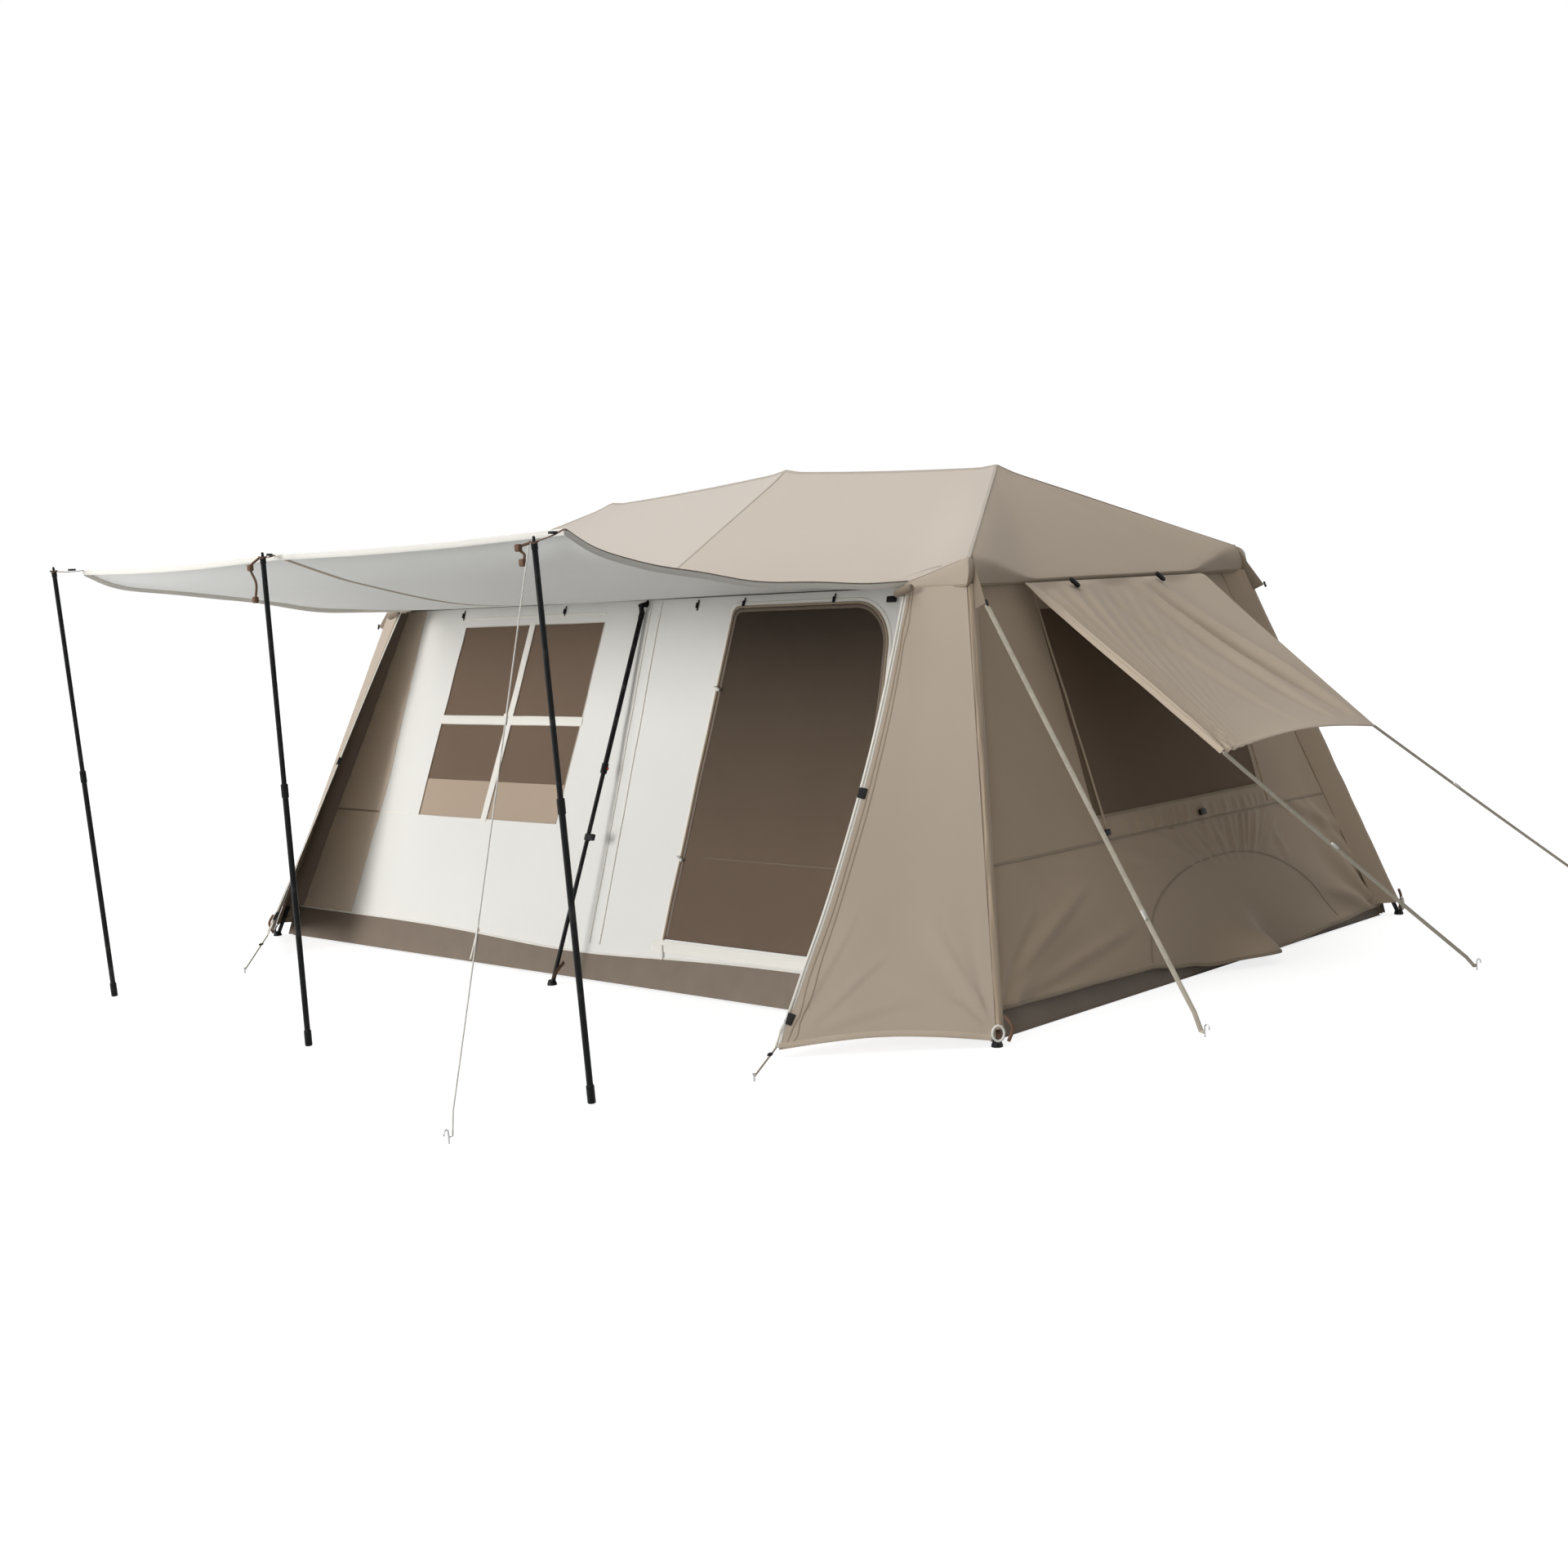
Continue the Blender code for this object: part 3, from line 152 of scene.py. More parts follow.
# Creases of the end walls: y and z where each starts and ends, and its depth, in metres
CREASE_WIDTH = 0.024
CREASES = ((-1.32, 0.17, -0.69, 0.45, 0.011), (-1.25, 0.12, -0.44, 0.26, 0.010),
           (-1.31, 0.21, -1.03, 0.42, 0.008), (0.75, 0.64, 1.36, 0.39, 0.010),
           (1.01, 0.60, 1.45, 0.14, 0.010), (0.70, 0.50, 0.76, 0.33, 0.007),
           (1.25, 0.78, 1.34, 0.50, 0.008), (-0.94, 1.35, -1.13, 0.66, 0.009),
           (0.97, 0.03, 1.42, 0.04, 0.006), (0.95, 0.20, 1.42, 0.07, 0.009))
# Creases of the wings, by the distance from the free edge and the height over the foot
WING_CREASES = ((0.03, 0.03, 0.30, 0.29, 0.008), (0.04, 0.02, 0.44, 0.13, 0.008),
                (0.02, 0.06, 0.13, 0.48, 0.006), (0.62, 0.04, 0.42, 0.40, 0.008),
                (0.60, 0.05, 0.30, 0.20, 0.007), (0.04, 1.55, 0.20, 1.15, 0.006))
# Two rows of gathers under the end windows: their heights and half depths, and where they lie
GATHER_ROWS = ((0.60, 0.085), (0.47, 0.07))
GATHER_Y = (-0.50, 0.80)
GATHER_TOP_Z = 0.668
FAN_CENTRE = (0.36, 0.20)       # (y, z) that the lower row spreads from
FLARE = (0.23, 0.175, 0.34)     # y, reach and height of the fold that stands out at their foot
FLARE_SIDES = (0.20, 0.11)      # how wide it is before and behind its middle
ARCH_SEAM = ((-0.42, 0.10), (-0.36, 0.24), (-0.22, 0.345), (0.02, 0.415), (0.36, 0.428),
             (0.62, 0.375), (0.84, 0.26), (0.99, 0.13), (1.05, 0.06))     # (y, z)
LEVEL_SEAM_Z = 0.583

FLAP_HALF = 0.62
FLAP_BOTTOM_HALF = 0.575
FLAP_LENGTH = 1.04
FLAP_PIN = (1.838, 1.594)
FLAP_OPEN = 51.8
FLAP_CLOSED = 17.6
FLAP_SLACK = {FLAP_OPEN: 0.030, FLAP_CLOSED: 0.004}
# Folds of the held-out flap: where each starts across it, its drift on the way down, its depth
FLAP_FOLDS = ((0.62, 0.34, 0.042), (0.54, 0.26, 0.022), (0.33, 0.22, 0.010))

GUY_WIDTHS = {"corner": 0.018, "flap_near": 0.015, "flap_far": 0.012, "pole": 0.005}
GUY_THICKNESS = 0.002
GUY_RADIUS = 0.0025
GUY_SAG = 0.004
GUY_HEIGHT_AT_PEG = 0.020
GUY_END_LENGTH = 0.012
STRAP_HALF_DEPTH = 0.0012
GUY_GAP = 0.0003
PEG_RADIUS = 0.003
PEG_SPOTS = {
    "corner": (2.82, -1.012),
    "flap_near": (3.12, 0.485),
    "flap_far": (3.22, 1.853),
    "pole": (1.632, -3.360),
}
POLE_TOPS = {
    "left": (-1.585, -2.870, 1.870),
    "middle": (0.095, -2.897, 1.850),
    "right": (1.615, -2.870, 1.825),
}

CREASE_ANGLE = math.radians(40)

ENDS = ((-1, "left"), (1, "right"))
SIDES = ((-1, "front"), (1, "back"))
UP = Vector((0, 0, 1))
MID_GREY = (0.5, 0.5, 0.5, 1)
NEAR_BLACK = (0.02, 0.02, 0.02, 1)


def tone(red, green, blue):
    """A colour as seen on a screen, from 0 to 255, as the linear values a shader takes."""
    def linear(value):
        value /= 255
        return value / 12.92 if value <= 0.04045 else ((value + 0.055) / 1.055) ** 2.4
    return linear(red), linear(green), linear(blue)


def colour_property(name, description, red, green, blue):
    return FloatVectorProperty(name=name, description=description, subtype="COLOR", size=3,
                               min=0, max=1, default=tone(red, green, blue))


def length_property(name, description, default):
    return FloatProperty(name=name, description=description, default=default, min=0,
                         subtype="DISTANCE", unit="LENGTH")


class TentSizes(PropertyGroup):
    cloth: length_property("Cloth", "Thickness of the roof and wall cloth with its coating", 0.0016)
    net: length_property("Net", "Thickness of the insect net", 0.0008)
    hem: length_property("Hem", "Width of a turned and stitched edge", 0.022)
    piping: length_property("Piping", "Radius of the piping on seams", 0.0035)
    webbing: length_property("Webbing", "Width of the pull-down straps", 0.020)
    skirt: length_property("Skirt", "Height of the dark skirt at the foot of the walls", 0.145)
    ripple: length_property("Ripple", "Depth of the soft waves in the wall cloth", 0.006)
    pleat: length_property("Pleat", "Depth of the gathers under the end windows", 0.009)
    window_bar: length_property("Window bar", "Width of the cross over the front window", 0.040)


class TentColours(PropertyGroup):
    roof: colour_property("Roof", "Outer cloth of the roof, awning, wings and end walls",
                          200, 189, 176)
    # Painted light: a lighter copy of the roof cloth for the left half, standing in for light that
    # falls from the left.
    roof_painted_lit_left: colour_property("Left roof panel", "Outer cloth left of the middle seam",
                               206, 197, 186)
    # Painted shade: a darker, browner copy of the roof cloth, standing in for the shade on the wings
    # and the awning's corners.
    wing: colour_property("Wings", "Outer cloth of the side wings", 180, 165, 148)
    # Painted light: a lighter copy of the side cloth, lifting the panels out of the shade that falls
    # on them.
    panel: colour_property("Front side panels", "Cloth at both ends of the cream wall",
                           216, 200, 181)
    window: colour_property("Window net", "Net of the front window", 122, 103, 87)
    # Painted shade: a darker, browner copy of the roof cloth, standing in for the shade on the end
    # walls; the back wall, sleeves and gathers share it.
    wall: colour_property("End walls", "Outer cloth of the end walls, sleeves and back",
                          184, 165, 142)
    side: colour_property("Side cloth", "Outer cloth of the hips and window flaps", 195, 179, 159)
    lining: colour_property("Lining", "Silver-white coating under the roof and awning",
                            240, 241, 238)
    cream: colour_property("Cream wall", "Cotton cloth of the front wall", 232, 230, 225)
    trim: colour_property("Trim", "Piping, hems and window bars", 238, 235, 227)
    net: colour_property("Net", "Brown insect net", 111, 94, 78)
    net_backed: colour_property("Backed net", "Net with pale cloth behind it", 178, 160, 141)
    skirt: colour_property("Skirt", "Coated skirt at the foot of the walls", 112, 98, 85)
    floor_sheet: colour_property("Groundsheet", "Floor of the tent", 96, 84, 72)
    guy: colour_property("Guy", "Braided guy cords", 182, 174, 158)
    tie: colour_property("Tie", "Brown ties and pull-downs", 112, 86, 68)
    tube: colour_property("Tube", "Coated tubes of the frame and poles", 17, 18, 19)
    plastic: colour_property("Plastic", "Hubs, feet, clips and toggles", 15, 15, 16)
    button: colour_property("Button", "Push buttons of the legs", 178, 44, 34)
    steel: colour_property("Steel", "Pegs and rings", 176, 176, 178)


def sizes():
    return bpy.context.scene.tent_sizes


def colours():
    return bpy.context.scene.tent_colours


# Shader groups
class Wiring:
    """Short ways to add and join the nodes of one tree."""

    def __init__(self, tree):
        self.tree = tree

    def node(self, kind, **settings):
        made = self.tree.nodes.new(kind)
        for key, value in settings.items():
            setattr(made, key, value)
        return made

    def join(self, start, end):
        self.tree.links.new(start, end)

    def feed(self, socket, value):
        if isinstance(value, bpy.types.NodeSocket):
            self.join(value, socket)
        else:
            socket.default_value = value

    def feed_all(self, sockets, values):
        for name, value in values.items():
            self.feed(sockets[name], value)

    def math(self, operation, first, second=None):
        made = self.node("ShaderNodeMath", operation=operation)
        self.feed(made.inputs[0], first)
        if second is not None:
            self.feed(made.inputs[1], second)
        return made.outputs[0]

    def times(self, first, second):
        return self.math("MULTIPLY", first, second)

    def plus(self, first, second):
        return self.math("ADD", first, second)

    def wave(self, place, turn):
        return self.math("SINE", self.times(place, turn))

    def split(self, place):
        made = self.node("ShaderNodeSeparateXYZ")
        self.join(place, made.inputs[0])
        return made.outputs

    def cut(self):
        """Metres along and across the cut cloth."""
        return self.node("ShaderNodeUVMap", uv_map="cut").outputs["UV"]

    def place(self):
        return self.node("ShaderNodeTexCoord").outputs["Object"]

    def noise(self, place, scale, detail=2.0, rough=0.5):
        made = self.node("ShaderNodeTexNoise")
        self.feed_all(made.inputs, {"Vector": place, "Scale": scale, "Detail": detail,
                                    "Roughness": rough})
        return made.outputs["Fac"]

    def span(self, value, low, high, to_low, to_high):
        made = self.node("ShaderNodeMapRange")
        for socket, number in zip(made.inputs[:5], (value, low, high, to_low, to_high)):
            self.feed(socket, number)
        return made.outputs[0]

    def scaled(self, colour, factor):
        made = self.node("ShaderNodeVectorMath", operation="SCALE")
        self.feed(made.inputs[0], colour)
        self.feed(made.inputs["Scale"], factor)
        return made.outputs[0]

    def mixed(self, factor, first, second):
        made = self.node("ShaderNodeMix", data_type="RGBA")
        self.feed_all(made.inputs, {"Factor": factor, "A": first, "B": second})
        return made.outputs["Result"]


def group_with(name, inputs, outputs):
    """The wiring of a new shader group, what it is given and where its results go."""
    group = bpy.data.node_groups.new(name, "ShaderNodeTree")

    def add(label, way):
        kind = "NodeSocketColor" if label == "Colour" else "NodeSocketFloat"
        return group.interface.new_socket(label, in_out=way, socket_type=kind)
    for label, default in inputs.items():
        add(label, "INPUT").default_value = default
    for label in outputs:
        add(label, "OUTPUT")
    w = Wiring(group)
    return w, w.node("NodeGroupInput").outputs, w.node("NodeGroupOutput").inputs


def woven_cloth_group():
    """Threads both ways along the cut, uneven dye, and dust near the ground."""
    w, given, result = group_with(
        "woven_cloth", {"Colour": MID_GREY, "Thread": 0.0012, "Unevenness": 0.05, "Dust": 0.1,
                        "Roughness": 0.75}, ("Colour", "Roughness", "Height"))
    cut, place = w.cut(), w.place()
    parts = w.split(cut)
    turn = w.math("DIVIDE", math.tau, given["Thread"])
    threads = w.times(w.wave(parts["X"], turn), w.wave(parts["Y"], turn))
    slub = w.noise(cut, 90.0, 3.0)
    broad = w.noise(place, 1.7, 3.0)
    fine = w.noise(place, 23.0, 4.0, 0.6)
    blend = w.plus(w.times(broad, 0.65), w.times(fine, 0.35))
    swing = w.times(w.math("SUBTRACT", blend, 0.5), given["Unevenness"])
    # Painted shade: the colour follows the threads' relief, darker in the grooves between them; the
    # noise swing is uneven dye.
    factor = w.plus(w.plus(swing, w.times(threads, 0.025)), 1.0)
    dyed = w.scaled(given["Colour"], factor)
    low = w.span(w.split(place)["Z"], 0.0, 0.35, 1.0, 0.0)
    dusty = w.times(w.times(low, w.noise(place, 9.0, 4.0)), given["Dust"])
    uneven = w.times(w.math("SUBTRACT", fine, 0.5), 0.12)
    w.feed_all(result, {"Height": w.plus(w.times(threads, 0.35), slub),
                        "Colour": w.mixed(dusty, dyed, (0.36, 0.30, 0.23, 1)),
                        "Roughness": w.plus(given["Roughness"], uneven)})


def stitches_group():
    """Two rows of lockstitch along a hem's length, as a mask and a height."""
    w, given, result = group_with("stitches", {"Pitch": 0.0035, "Row": 0.006}, ("Mask", "Height"))
    parts = w.split(w.cut())
    dash = w.wave(parts["X"], w.math("DIVIDE", math.tau, given["Pitch"]))
    dash = w.math("GREATER_THAN", dash, -0.4)
    off = w.math("SUBTRACT", w.math("ABSOLUTE", parts["Y"]), given["Row"])
    off = w.math("ABSOLUTE", off)
    mask = w.times(dash, w.math("LESS_THAN", off, 0.0006))
    w.join(mask, result["Mask"])
    w.join(w.math("SUBTRACT", mask, w.math("LESS_THAN", off, 0.0015)), result["Height"])


def net_group():
    """The holes of an insect net, softened, as a mask of how much thread there is."""
    w, given, result = group_with("insect_net", {"Pitch": 0.0026, "Open": 0.25},
                                  ("Thread", "Height"))
    parts = w.split(w.cut())
    turn = w.math("DIVIDE", math.pi, given["Pitch"])
    across, along = (w.math("ABSOLUTE", w.wave(parts[axis], turn)) for axis in "XY")
    hole = w.times(across, along)
    thread = w.math("SUBTRACT", 1.0, w.times(hole, w.times(given["Open"], 2.4)))
    w.join(w.math("MAXIMUM", thread, 0.0), result["Thread"])
    w.join(w.math("SUBTRACT", 1.0, hole), result["Height"])


def webbing_group():
    """Ribs of woven tape across its length."""
    w, given, result = group_with("webbing", {"Colour": MID_GREY, "Rib": 0.0022},
                                  ("Colour", "Height"))
    parts = w.split(w.cut())
    diagonal = w.plus(parts["X"], w.times(parts["Y"], 0.6))
    rib = w.wave(diagonal, w.math("DIVIDE", math.tau, given["Rib"]))
    worn = w.span(w.noise(w.place(), 40.0, 3.0), 0.3, 0.7, 0.9, 1.08)
    w.join(rib, result["Height"])
    # Painted shade: the colour follows the ribs, darker in the grooves between them; the worn noise
    # varies it at random.
    w.join(w.scaled(given["Colour"], w.plus(w.times(rib, 0.08), worn)), result["Colour"])


def coated_metal_group():
    """Powder coat: fine grain, handling marks and a little dust."""
    w, given, result = group_with(
        "coated_metal", {"Colour": NEAR_BLACK, "Wear": 0.3, "Roughness": 0.4},
        ("Colour", "Roughness", "Height"))
    place = w.place()
    marks = w.span(w.noise(place, 14.0, 6.0, 0.7), 0.56, 0.72, 0.0, 1.0)
    worn = w.times(marks, given["Wear"])
    w.feed_all(result, {"Height": w.noise(place, 900.0),
                        "Colour": w.mixed(worn, given["Colour"], (0.16, 0.15, 0.14, 1)),
                        "Roughness": w.plus(given["Roughness"], w.times(worn, 0.3))})


def moulded_group():
    """Moulded plastic with a spark-eroded grain."""
    w, given, result = group_with("moulded_plastic", {"Colour": NEAR_BLACK, "Grain": 700.0},
                                  ("Colour", "Roughness", "Height"))
    place = w.place()
    patch = w.noise(place, 30.0, 3.0)
    w.feed_all(result, {"Height": w.noise(place, given["Grain"]),
                        "Colour": w.scaled(given["Colour"], w.span(patch, 0.3, 0.7, 0.85, 1.2)),
                        "Roughness": w.span(patch, 0.3, 0.7, 0.42, 0.6)})


GROUP_MAKERS = {
    "woven_cloth": woven_cloth_group, "stitches": stitches_group, "insect_net": net_group,
    "webbing": webbing_group, "coated_metal": coated_metal_group, "moulded_plastic": moulded_group,
}


def place_group(w, name, **values):
    if name not in bpy.data.node_groups:
        GROUP_MAKERS[name]()
    made = w.node("ShaderNodeGroup", node_tree=bpy.data.node_groups[name])
    w.feed_all(made.inputs, values)
    return made.outputs


def bare_material(name):
    """A new material, its wiring and its shader's sockets."""
    material = bpy.data.materials.new(name)
    material.use_nodes = True
    w = Wiring(material.node_tree)
    return material, w, material.node_tree.nodes["Principled BSDF"].inputs


def bumped(w, height, distance, strength):
    bump = w.node("ShaderNodeBump")
    w.feed_all(bump.inputs, {"Strength": strength, "Distance": distance, "Height": height})
    return bump.outputs["Normal"]


def rgba(colour):
    return (*colour, 1.0)


def group_material(name, group, colour, relief, looks, **given):
    """A material whose colour, roughness and relief come from one shader group."""
    material, w, shader = bare_material(name)
    out = place_group(w, group, Colour=rgba(colour), **given)
    w.join(out["Colour"], shader["Base Color"])
    if "Roughness" in out:
        w.join(out["Roughness"], shader["Roughness"])
    w.feed_all(shader, dict(looks, Normal=bumped(w, out["Height"], *relief)))
    return material


def cloth_material(name, colour, thread=0.0012, unevenness=0.05, dust=0.10, roughness=0.75,
                   sheen=0.15):
    return group_material(
        name, "woven_cloth", colour, (0.0002, 0.6),
        {"Sheen Weight": sheen, "Sheen Roughness": 0.5, "Specular IOR Level": 0.35},
        Thread=thread, Unevenness=unevenness, Dust=dust, Roughness=roughness)


def hem_material(name, colour):
    """Cloth with two rows of stitches along its length."""
    material, w, shader = bare_material(name)
    out = place_group(w, "woven_cloth", Colour=rgba(colour), Thread=0.0012)
    rows = place_group(w, "stitches", Row=0.006)
    light = tuple(min(1, c * 1.2 + 0.02) for c in colour)
    height = w.plus(w.times(out["Height"], 0.4), rows["Height"])
    w.feed_all(shader, {"Base Color": w.mixed(rows["Mask"], out["Colour"], rgba(light)),
                        "Roughness": out["Roughness"], "Sheen Weight": 0.15,
                        "Specular IOR Level": 0.35, "Normal": bumped(w, height, 0.0004, 0.8)})
    return material


def net_material(name, colour, opened, top=1.0):
    """Net; top is how much of its colour it keeps high up: painted shade, darker towards the top,
    for the dark tent behind it and the awning's shade.
    """
    material, w, shader = bare_material(name)
    rows = place_group(w, "insect_net", Open=opened)
    out = place_group(w, "woven_cloth", Colour=rgba(colour), Thread=0.0026, Unevenness=0.06)
    # Painted shade: the colour falls from full at 0.55 m to top at 1.45 m.
    shade = w.span(w.split(w.place())["Z"], 0.55, 1.45, 1.0, top)
    w.feed_all(shader, {"Base Color": w.scaled(out["Colour"], shade),
                        "Roughness": out["Roughness"], "Alpha": rows["Thread"],
                        "Specular IOR Level": 0.25,
                        "Normal": bumped(w, rows["Height"], 0.0003, 0.6)})
    return material


def tape_material(name, colour, rib=0.0022):
    return group_material(name, "webbing", colour, (0.0004, 0.8),
                          {"Roughness": 0.72, "Specular IOR Level": 0.3}, Rib=rib)


def metal_material(name, colour, metallic=0.5, roughness=0.38, wear=0.3, shine=0.5):
    return group_material(name, "coated_metal", colour, (0.00008, 0.5),
                          {"Metallic": metallic, "Specular IOR Level": shine},
                          Wear=wear, Roughness=roughness)


def plastic_material(name, colour):
    return group_material(name, "moulded_plastic", colour, (0.0001, 0.5),
                          {"Specular IOR Level": 0.22})


def dyed(colour, share):
    return tuple(min(1, value * share) for value in colour)


def finish(name):
    """The material of that name, made the first time it is asked for."""
    found = bpy.data.materials.get(name)
    if found:
        return found
    c = colours()
    makers = {
        "roof_cloth": (cloth_material, c.roof),
        "roof_cloth_left": (cloth_material, c.roof_painted_lit_left),
        "roof_lining": (cloth_material, c.lining, dict(dust=0.0, roughness=0.55, sheen=0.0)),
        "roof_seam": (hem_material, dyed(c.roof, 0.82)),
        "side_cloth": (cloth_material, c.side),
        "side_hem": (hem_material, dyed(c.side, 0.97)),
        "wing_cloth": (cloth_material, c.wing),
        "panel_cloth": (cloth_material, c.panel),
        # Painted shade: the wall cloth at half its value, for the shade in the corner recesses at
        # the gussets and round the wings' top knots.
        "gusset_cloth": (cloth_material, dyed(c.wall, 0.5)),
        # Painted shade: the darker copy of the roof cloth for the walls.
        "wall_cloth": (cloth_material, c.wall),
        "wall_seam": (hem_material, dyed(c.wall, 0.72)),
        "wall_hem": (hem_material, dyed(c.wall, 1.12)),
        "cream_cloth": (cloth_material, c.cream, dict(thread=0.0016, unevenness=0.04)),
        "cream_hem": (hem_material, c.trim),
        "skirt_cloth": (cloth_material, c.skirt, dict(dust=0.35, roughness=0.6)),
        "groundsheet_cloth": (cloth_material, c.floor_sheet,
                              dict(thread=0.003, unevenness=0.15, dust=0.3, roughness=0.5)),
        "net_backed": (net_material, c.net_backed, dict(opened=0.02)),
        "end_net": (net_material, dyed(c.net, 1.4), dict(opened=0.20)),
        "window_net": (net_material, c.window, dict(opened=0.20)),
        "door_net": (net_material, c.net, dict(opened=0.20, top=0.33)),
        "brown_tape": (tape_material, c.tie),
        "black_tape": (tape_material, c.plastic),
        "cream_tape": (tape_material, c.trim),
        "guy_braid": (tape_material, c.guy, dict(rib=0.004)),
        "tie_braid": (tape_material, c.tie, dict(rib=0.003)),
        "coated_tube": (metal_material, c.tube, dict(shine=0.25)),
        "pole_tube": (metal_material, c.tube, dict(roughness=0.42, wear=0.15, shine=0.2)),
        "black_plastic": (plastic_material, c.plastic),
        "red_plastic": (plastic_material, c.button),
        "peg_metal": (metal_material, c.steel, dict(metallic=1.0, roughness=0.3, wear=0.5)),
    }
    maker, colour, *looks = makers[name]
    return maker(name, colour, **(looks[0] if looks else {}))


# Meshes
def new_piece(name, points, faces, cut, finishes, face_finish=None, body="tent_shell",
              slot="fly_khaki", folds=True):
    """A smooth mesh with its cut laid out in metres, riding on a body of the frame.

    cut holds one (along, across) pair for each point, or for each corner of each face.
    """
    mesh = bpy.data.meshes.new(name)
    mesh.from_pydata([tuple(p) for p in points], [], faces)
    layer = mesh.uv_layers.new(name="cut")
    if len(cut) == len(points):
        flat = [value for corner in mesh.loops for value in cut[corner.vertex_index]]
    else:
        flat = [value for pair in cut for value in pair]
    layer.data.foreach_set("uv", flat)
    for material in finishes:
        mesh.materials.append(finish(material))
    if face_finish:
        mesh.polygons.foreach_set("material_index", face_finish)
    mesh.shade_smooth()
    mesh.set_sharp_from_angle(angle=CREASE_ANGLE)
    piece = bpy.data.objects.new(name, mesh)
    bpy.context.scene.collection.objects.link(piece)
    settle(piece, body, slot, folds)
    return piece


def settle(piece, body="tent_shell", slot="fly_khaki", folds=True):
    """The piece rides on a body; with folds it takes its own copy of its mesh."""
    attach(piece, body)
    if folds:
        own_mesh(piece)


def thick_sheet(name, points, faces, cut, thickness, outer, inner=None, panel=None, **riding):
    """A closed sheet of cloth: two skins a thickness apart and a rim round its edges.

    panel gives the number of the outer material for a face's index.
    """
    normals = [Vector() for _ in points]
    for face in faces:
        a, b, c = (points[face[i]] for i in (0, 1, 2))
        way = (b - a).cross(c - a)
        if len(face) == 4:
            d = points[face[3]]
            way += (c - a).cross(d - a)
        for corner in face:
            normals[corner] += way
    for way in normals:
        way.normalize()
    half = thickness / 2
    skins = [p + n * half for p, n in zip(points, normals)]
    skins += [p - n * half for p, n in zip(points, normals)]
    count = len(points)
    sides = {}
    for face in faces:
        for a, b in zip(face, face[1:] + face[:1]):
            sides[a, b] = sides.get((a, b), 0) + 1
    outers = outer if isinstance(outer, (list, tuple)) else [outer]
    finishes = list(outers) + [inner or outers[0]]
    all_faces = [tuple(face) for face in faces]
    kinds = [panel(i) if panel else 0 for i in range(len(faces))]
    all_faces += [tuple(corner + count for corner in reversed(face)) for face in faces]
    kinds += [len(outers)] * len(faces)
    for a, b in list(sides):
        if (b, a) not in sides:
            all_faces.append((b, a, a + count, b + count))
            kinds.append(0)
    return new_piece(name, skins, all_faces, list(cut) * 2, finishes, kinds, **riding)


def grid(surface, columns, rows, flat, flip=False):
    """Points, faces and cut of a sheet bent to surface(u, v), with u and v from 0 to 1."""
    points, cut = [], []
    for j in range(rows + 1):
        for i in range(columns + 1):
            u, v = i / columns, j / rows
            points.append(surface(u, v))
            cut.append((u * flat[0], v * flat[1]))
    faces = []
    for j in range(rows):
        for i in range(columns):
            a = j * (columns + 1) + i
            face = (a, a + 1, a + columns + 2, a + columns + 1)
            faces.append(face[::-1] if flip else face)
    return points, faces, cut


def sheet_area(points, faces):
    total = 0.0
    for face in faces:
        for i in range(1, len(face) - 1):
            a, b, c = points[face[0]], points[face[i]], points[face[i + 1]]
            total += (b - a).cross(c - a).length / 2
    return total


def cloth_piece(name, surface, columns, rows, flat, held, outer, inner=None, flip=False,
                thickness=None, panel=None, rests_on=(), openings=(), share=1.0, stands_for=None,
                **riding):
    """A sheet of cloth. openings are cut out after it is bent, as (frame, outline)."""
    points, faces, cut = grid(surface, columns, rows, flat, flip)
    area = min(sheet_area(points, faces), flat[0] * flat[1]) * share
    first = dict(riding, slot=None, folds=False) if openings else riding
    piece = thick_sheet(name, points, faces, cut, thickness or sizes().cloth, outer, inner, panel,
                        **first)
    if openings:
        cut_openings(piece, openings)
        settle(piece, **riding)
    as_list(rests_on)
    if stands_for:
        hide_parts(stands_for)


def cut_openings(piece, openings):
    """Cuts prisms out of a sheet and keeps the result as its mesh."""
    blades = []
    for number, (place, outline) in enumerate(openings):
        count = len(outline)
        points = [place @ Vector((x, y, z)) for z in (-0.15, 0.15) for x, y in outline]
        faces = [tuple(reversed(range(count))), tuple(range(count, 2 * count))]
        faces += [(i, (i + 1) % count, count + (i + 1) % count, count + i) for i in range(count)]
        mesh = bpy.data.meshes.new("blade")
        mesh.from_pydata([tuple(p) for p in points], [], faces)
        shape = bmesh.new()
        shape.from_mesh(mesh)
        bmesh.ops.recalc_face_normals(shape, faces=shape.faces)
        shape.to_mesh(mesh)
        shape.free()
        blade = bpy.data.objects.new(f"blade_{number}", mesh)
        bpy.context.scene.collection.objects.link(blade)
        blades.append(blade)
        cutter = piece.modifiers.new("opening", "BOOLEAN")
        cutter.operation = "DIFFERENCE"
        cutter.object = blade
    bpy.context.view_layer.update()
    graph = bpy.context.evaluated_depsgraph_get()
    mesh = bpy.data.meshes.new_from_object(piece.evaluated_get(graph))
    piece.modifiers.clear()
    piece.data = mesh
    mesh.shade_smooth()
    mesh.set_sharp_from_angle(angle=CREASE_ANGLE)
    for blade in blades:
        bpy.data.objects.remove(blade)


def round_section(radius, steps=8):
    return [(radius * math.cos(math.tau * i / steps), radius * math.sin(math.tau * i / steps))
            for i in range(steps)]


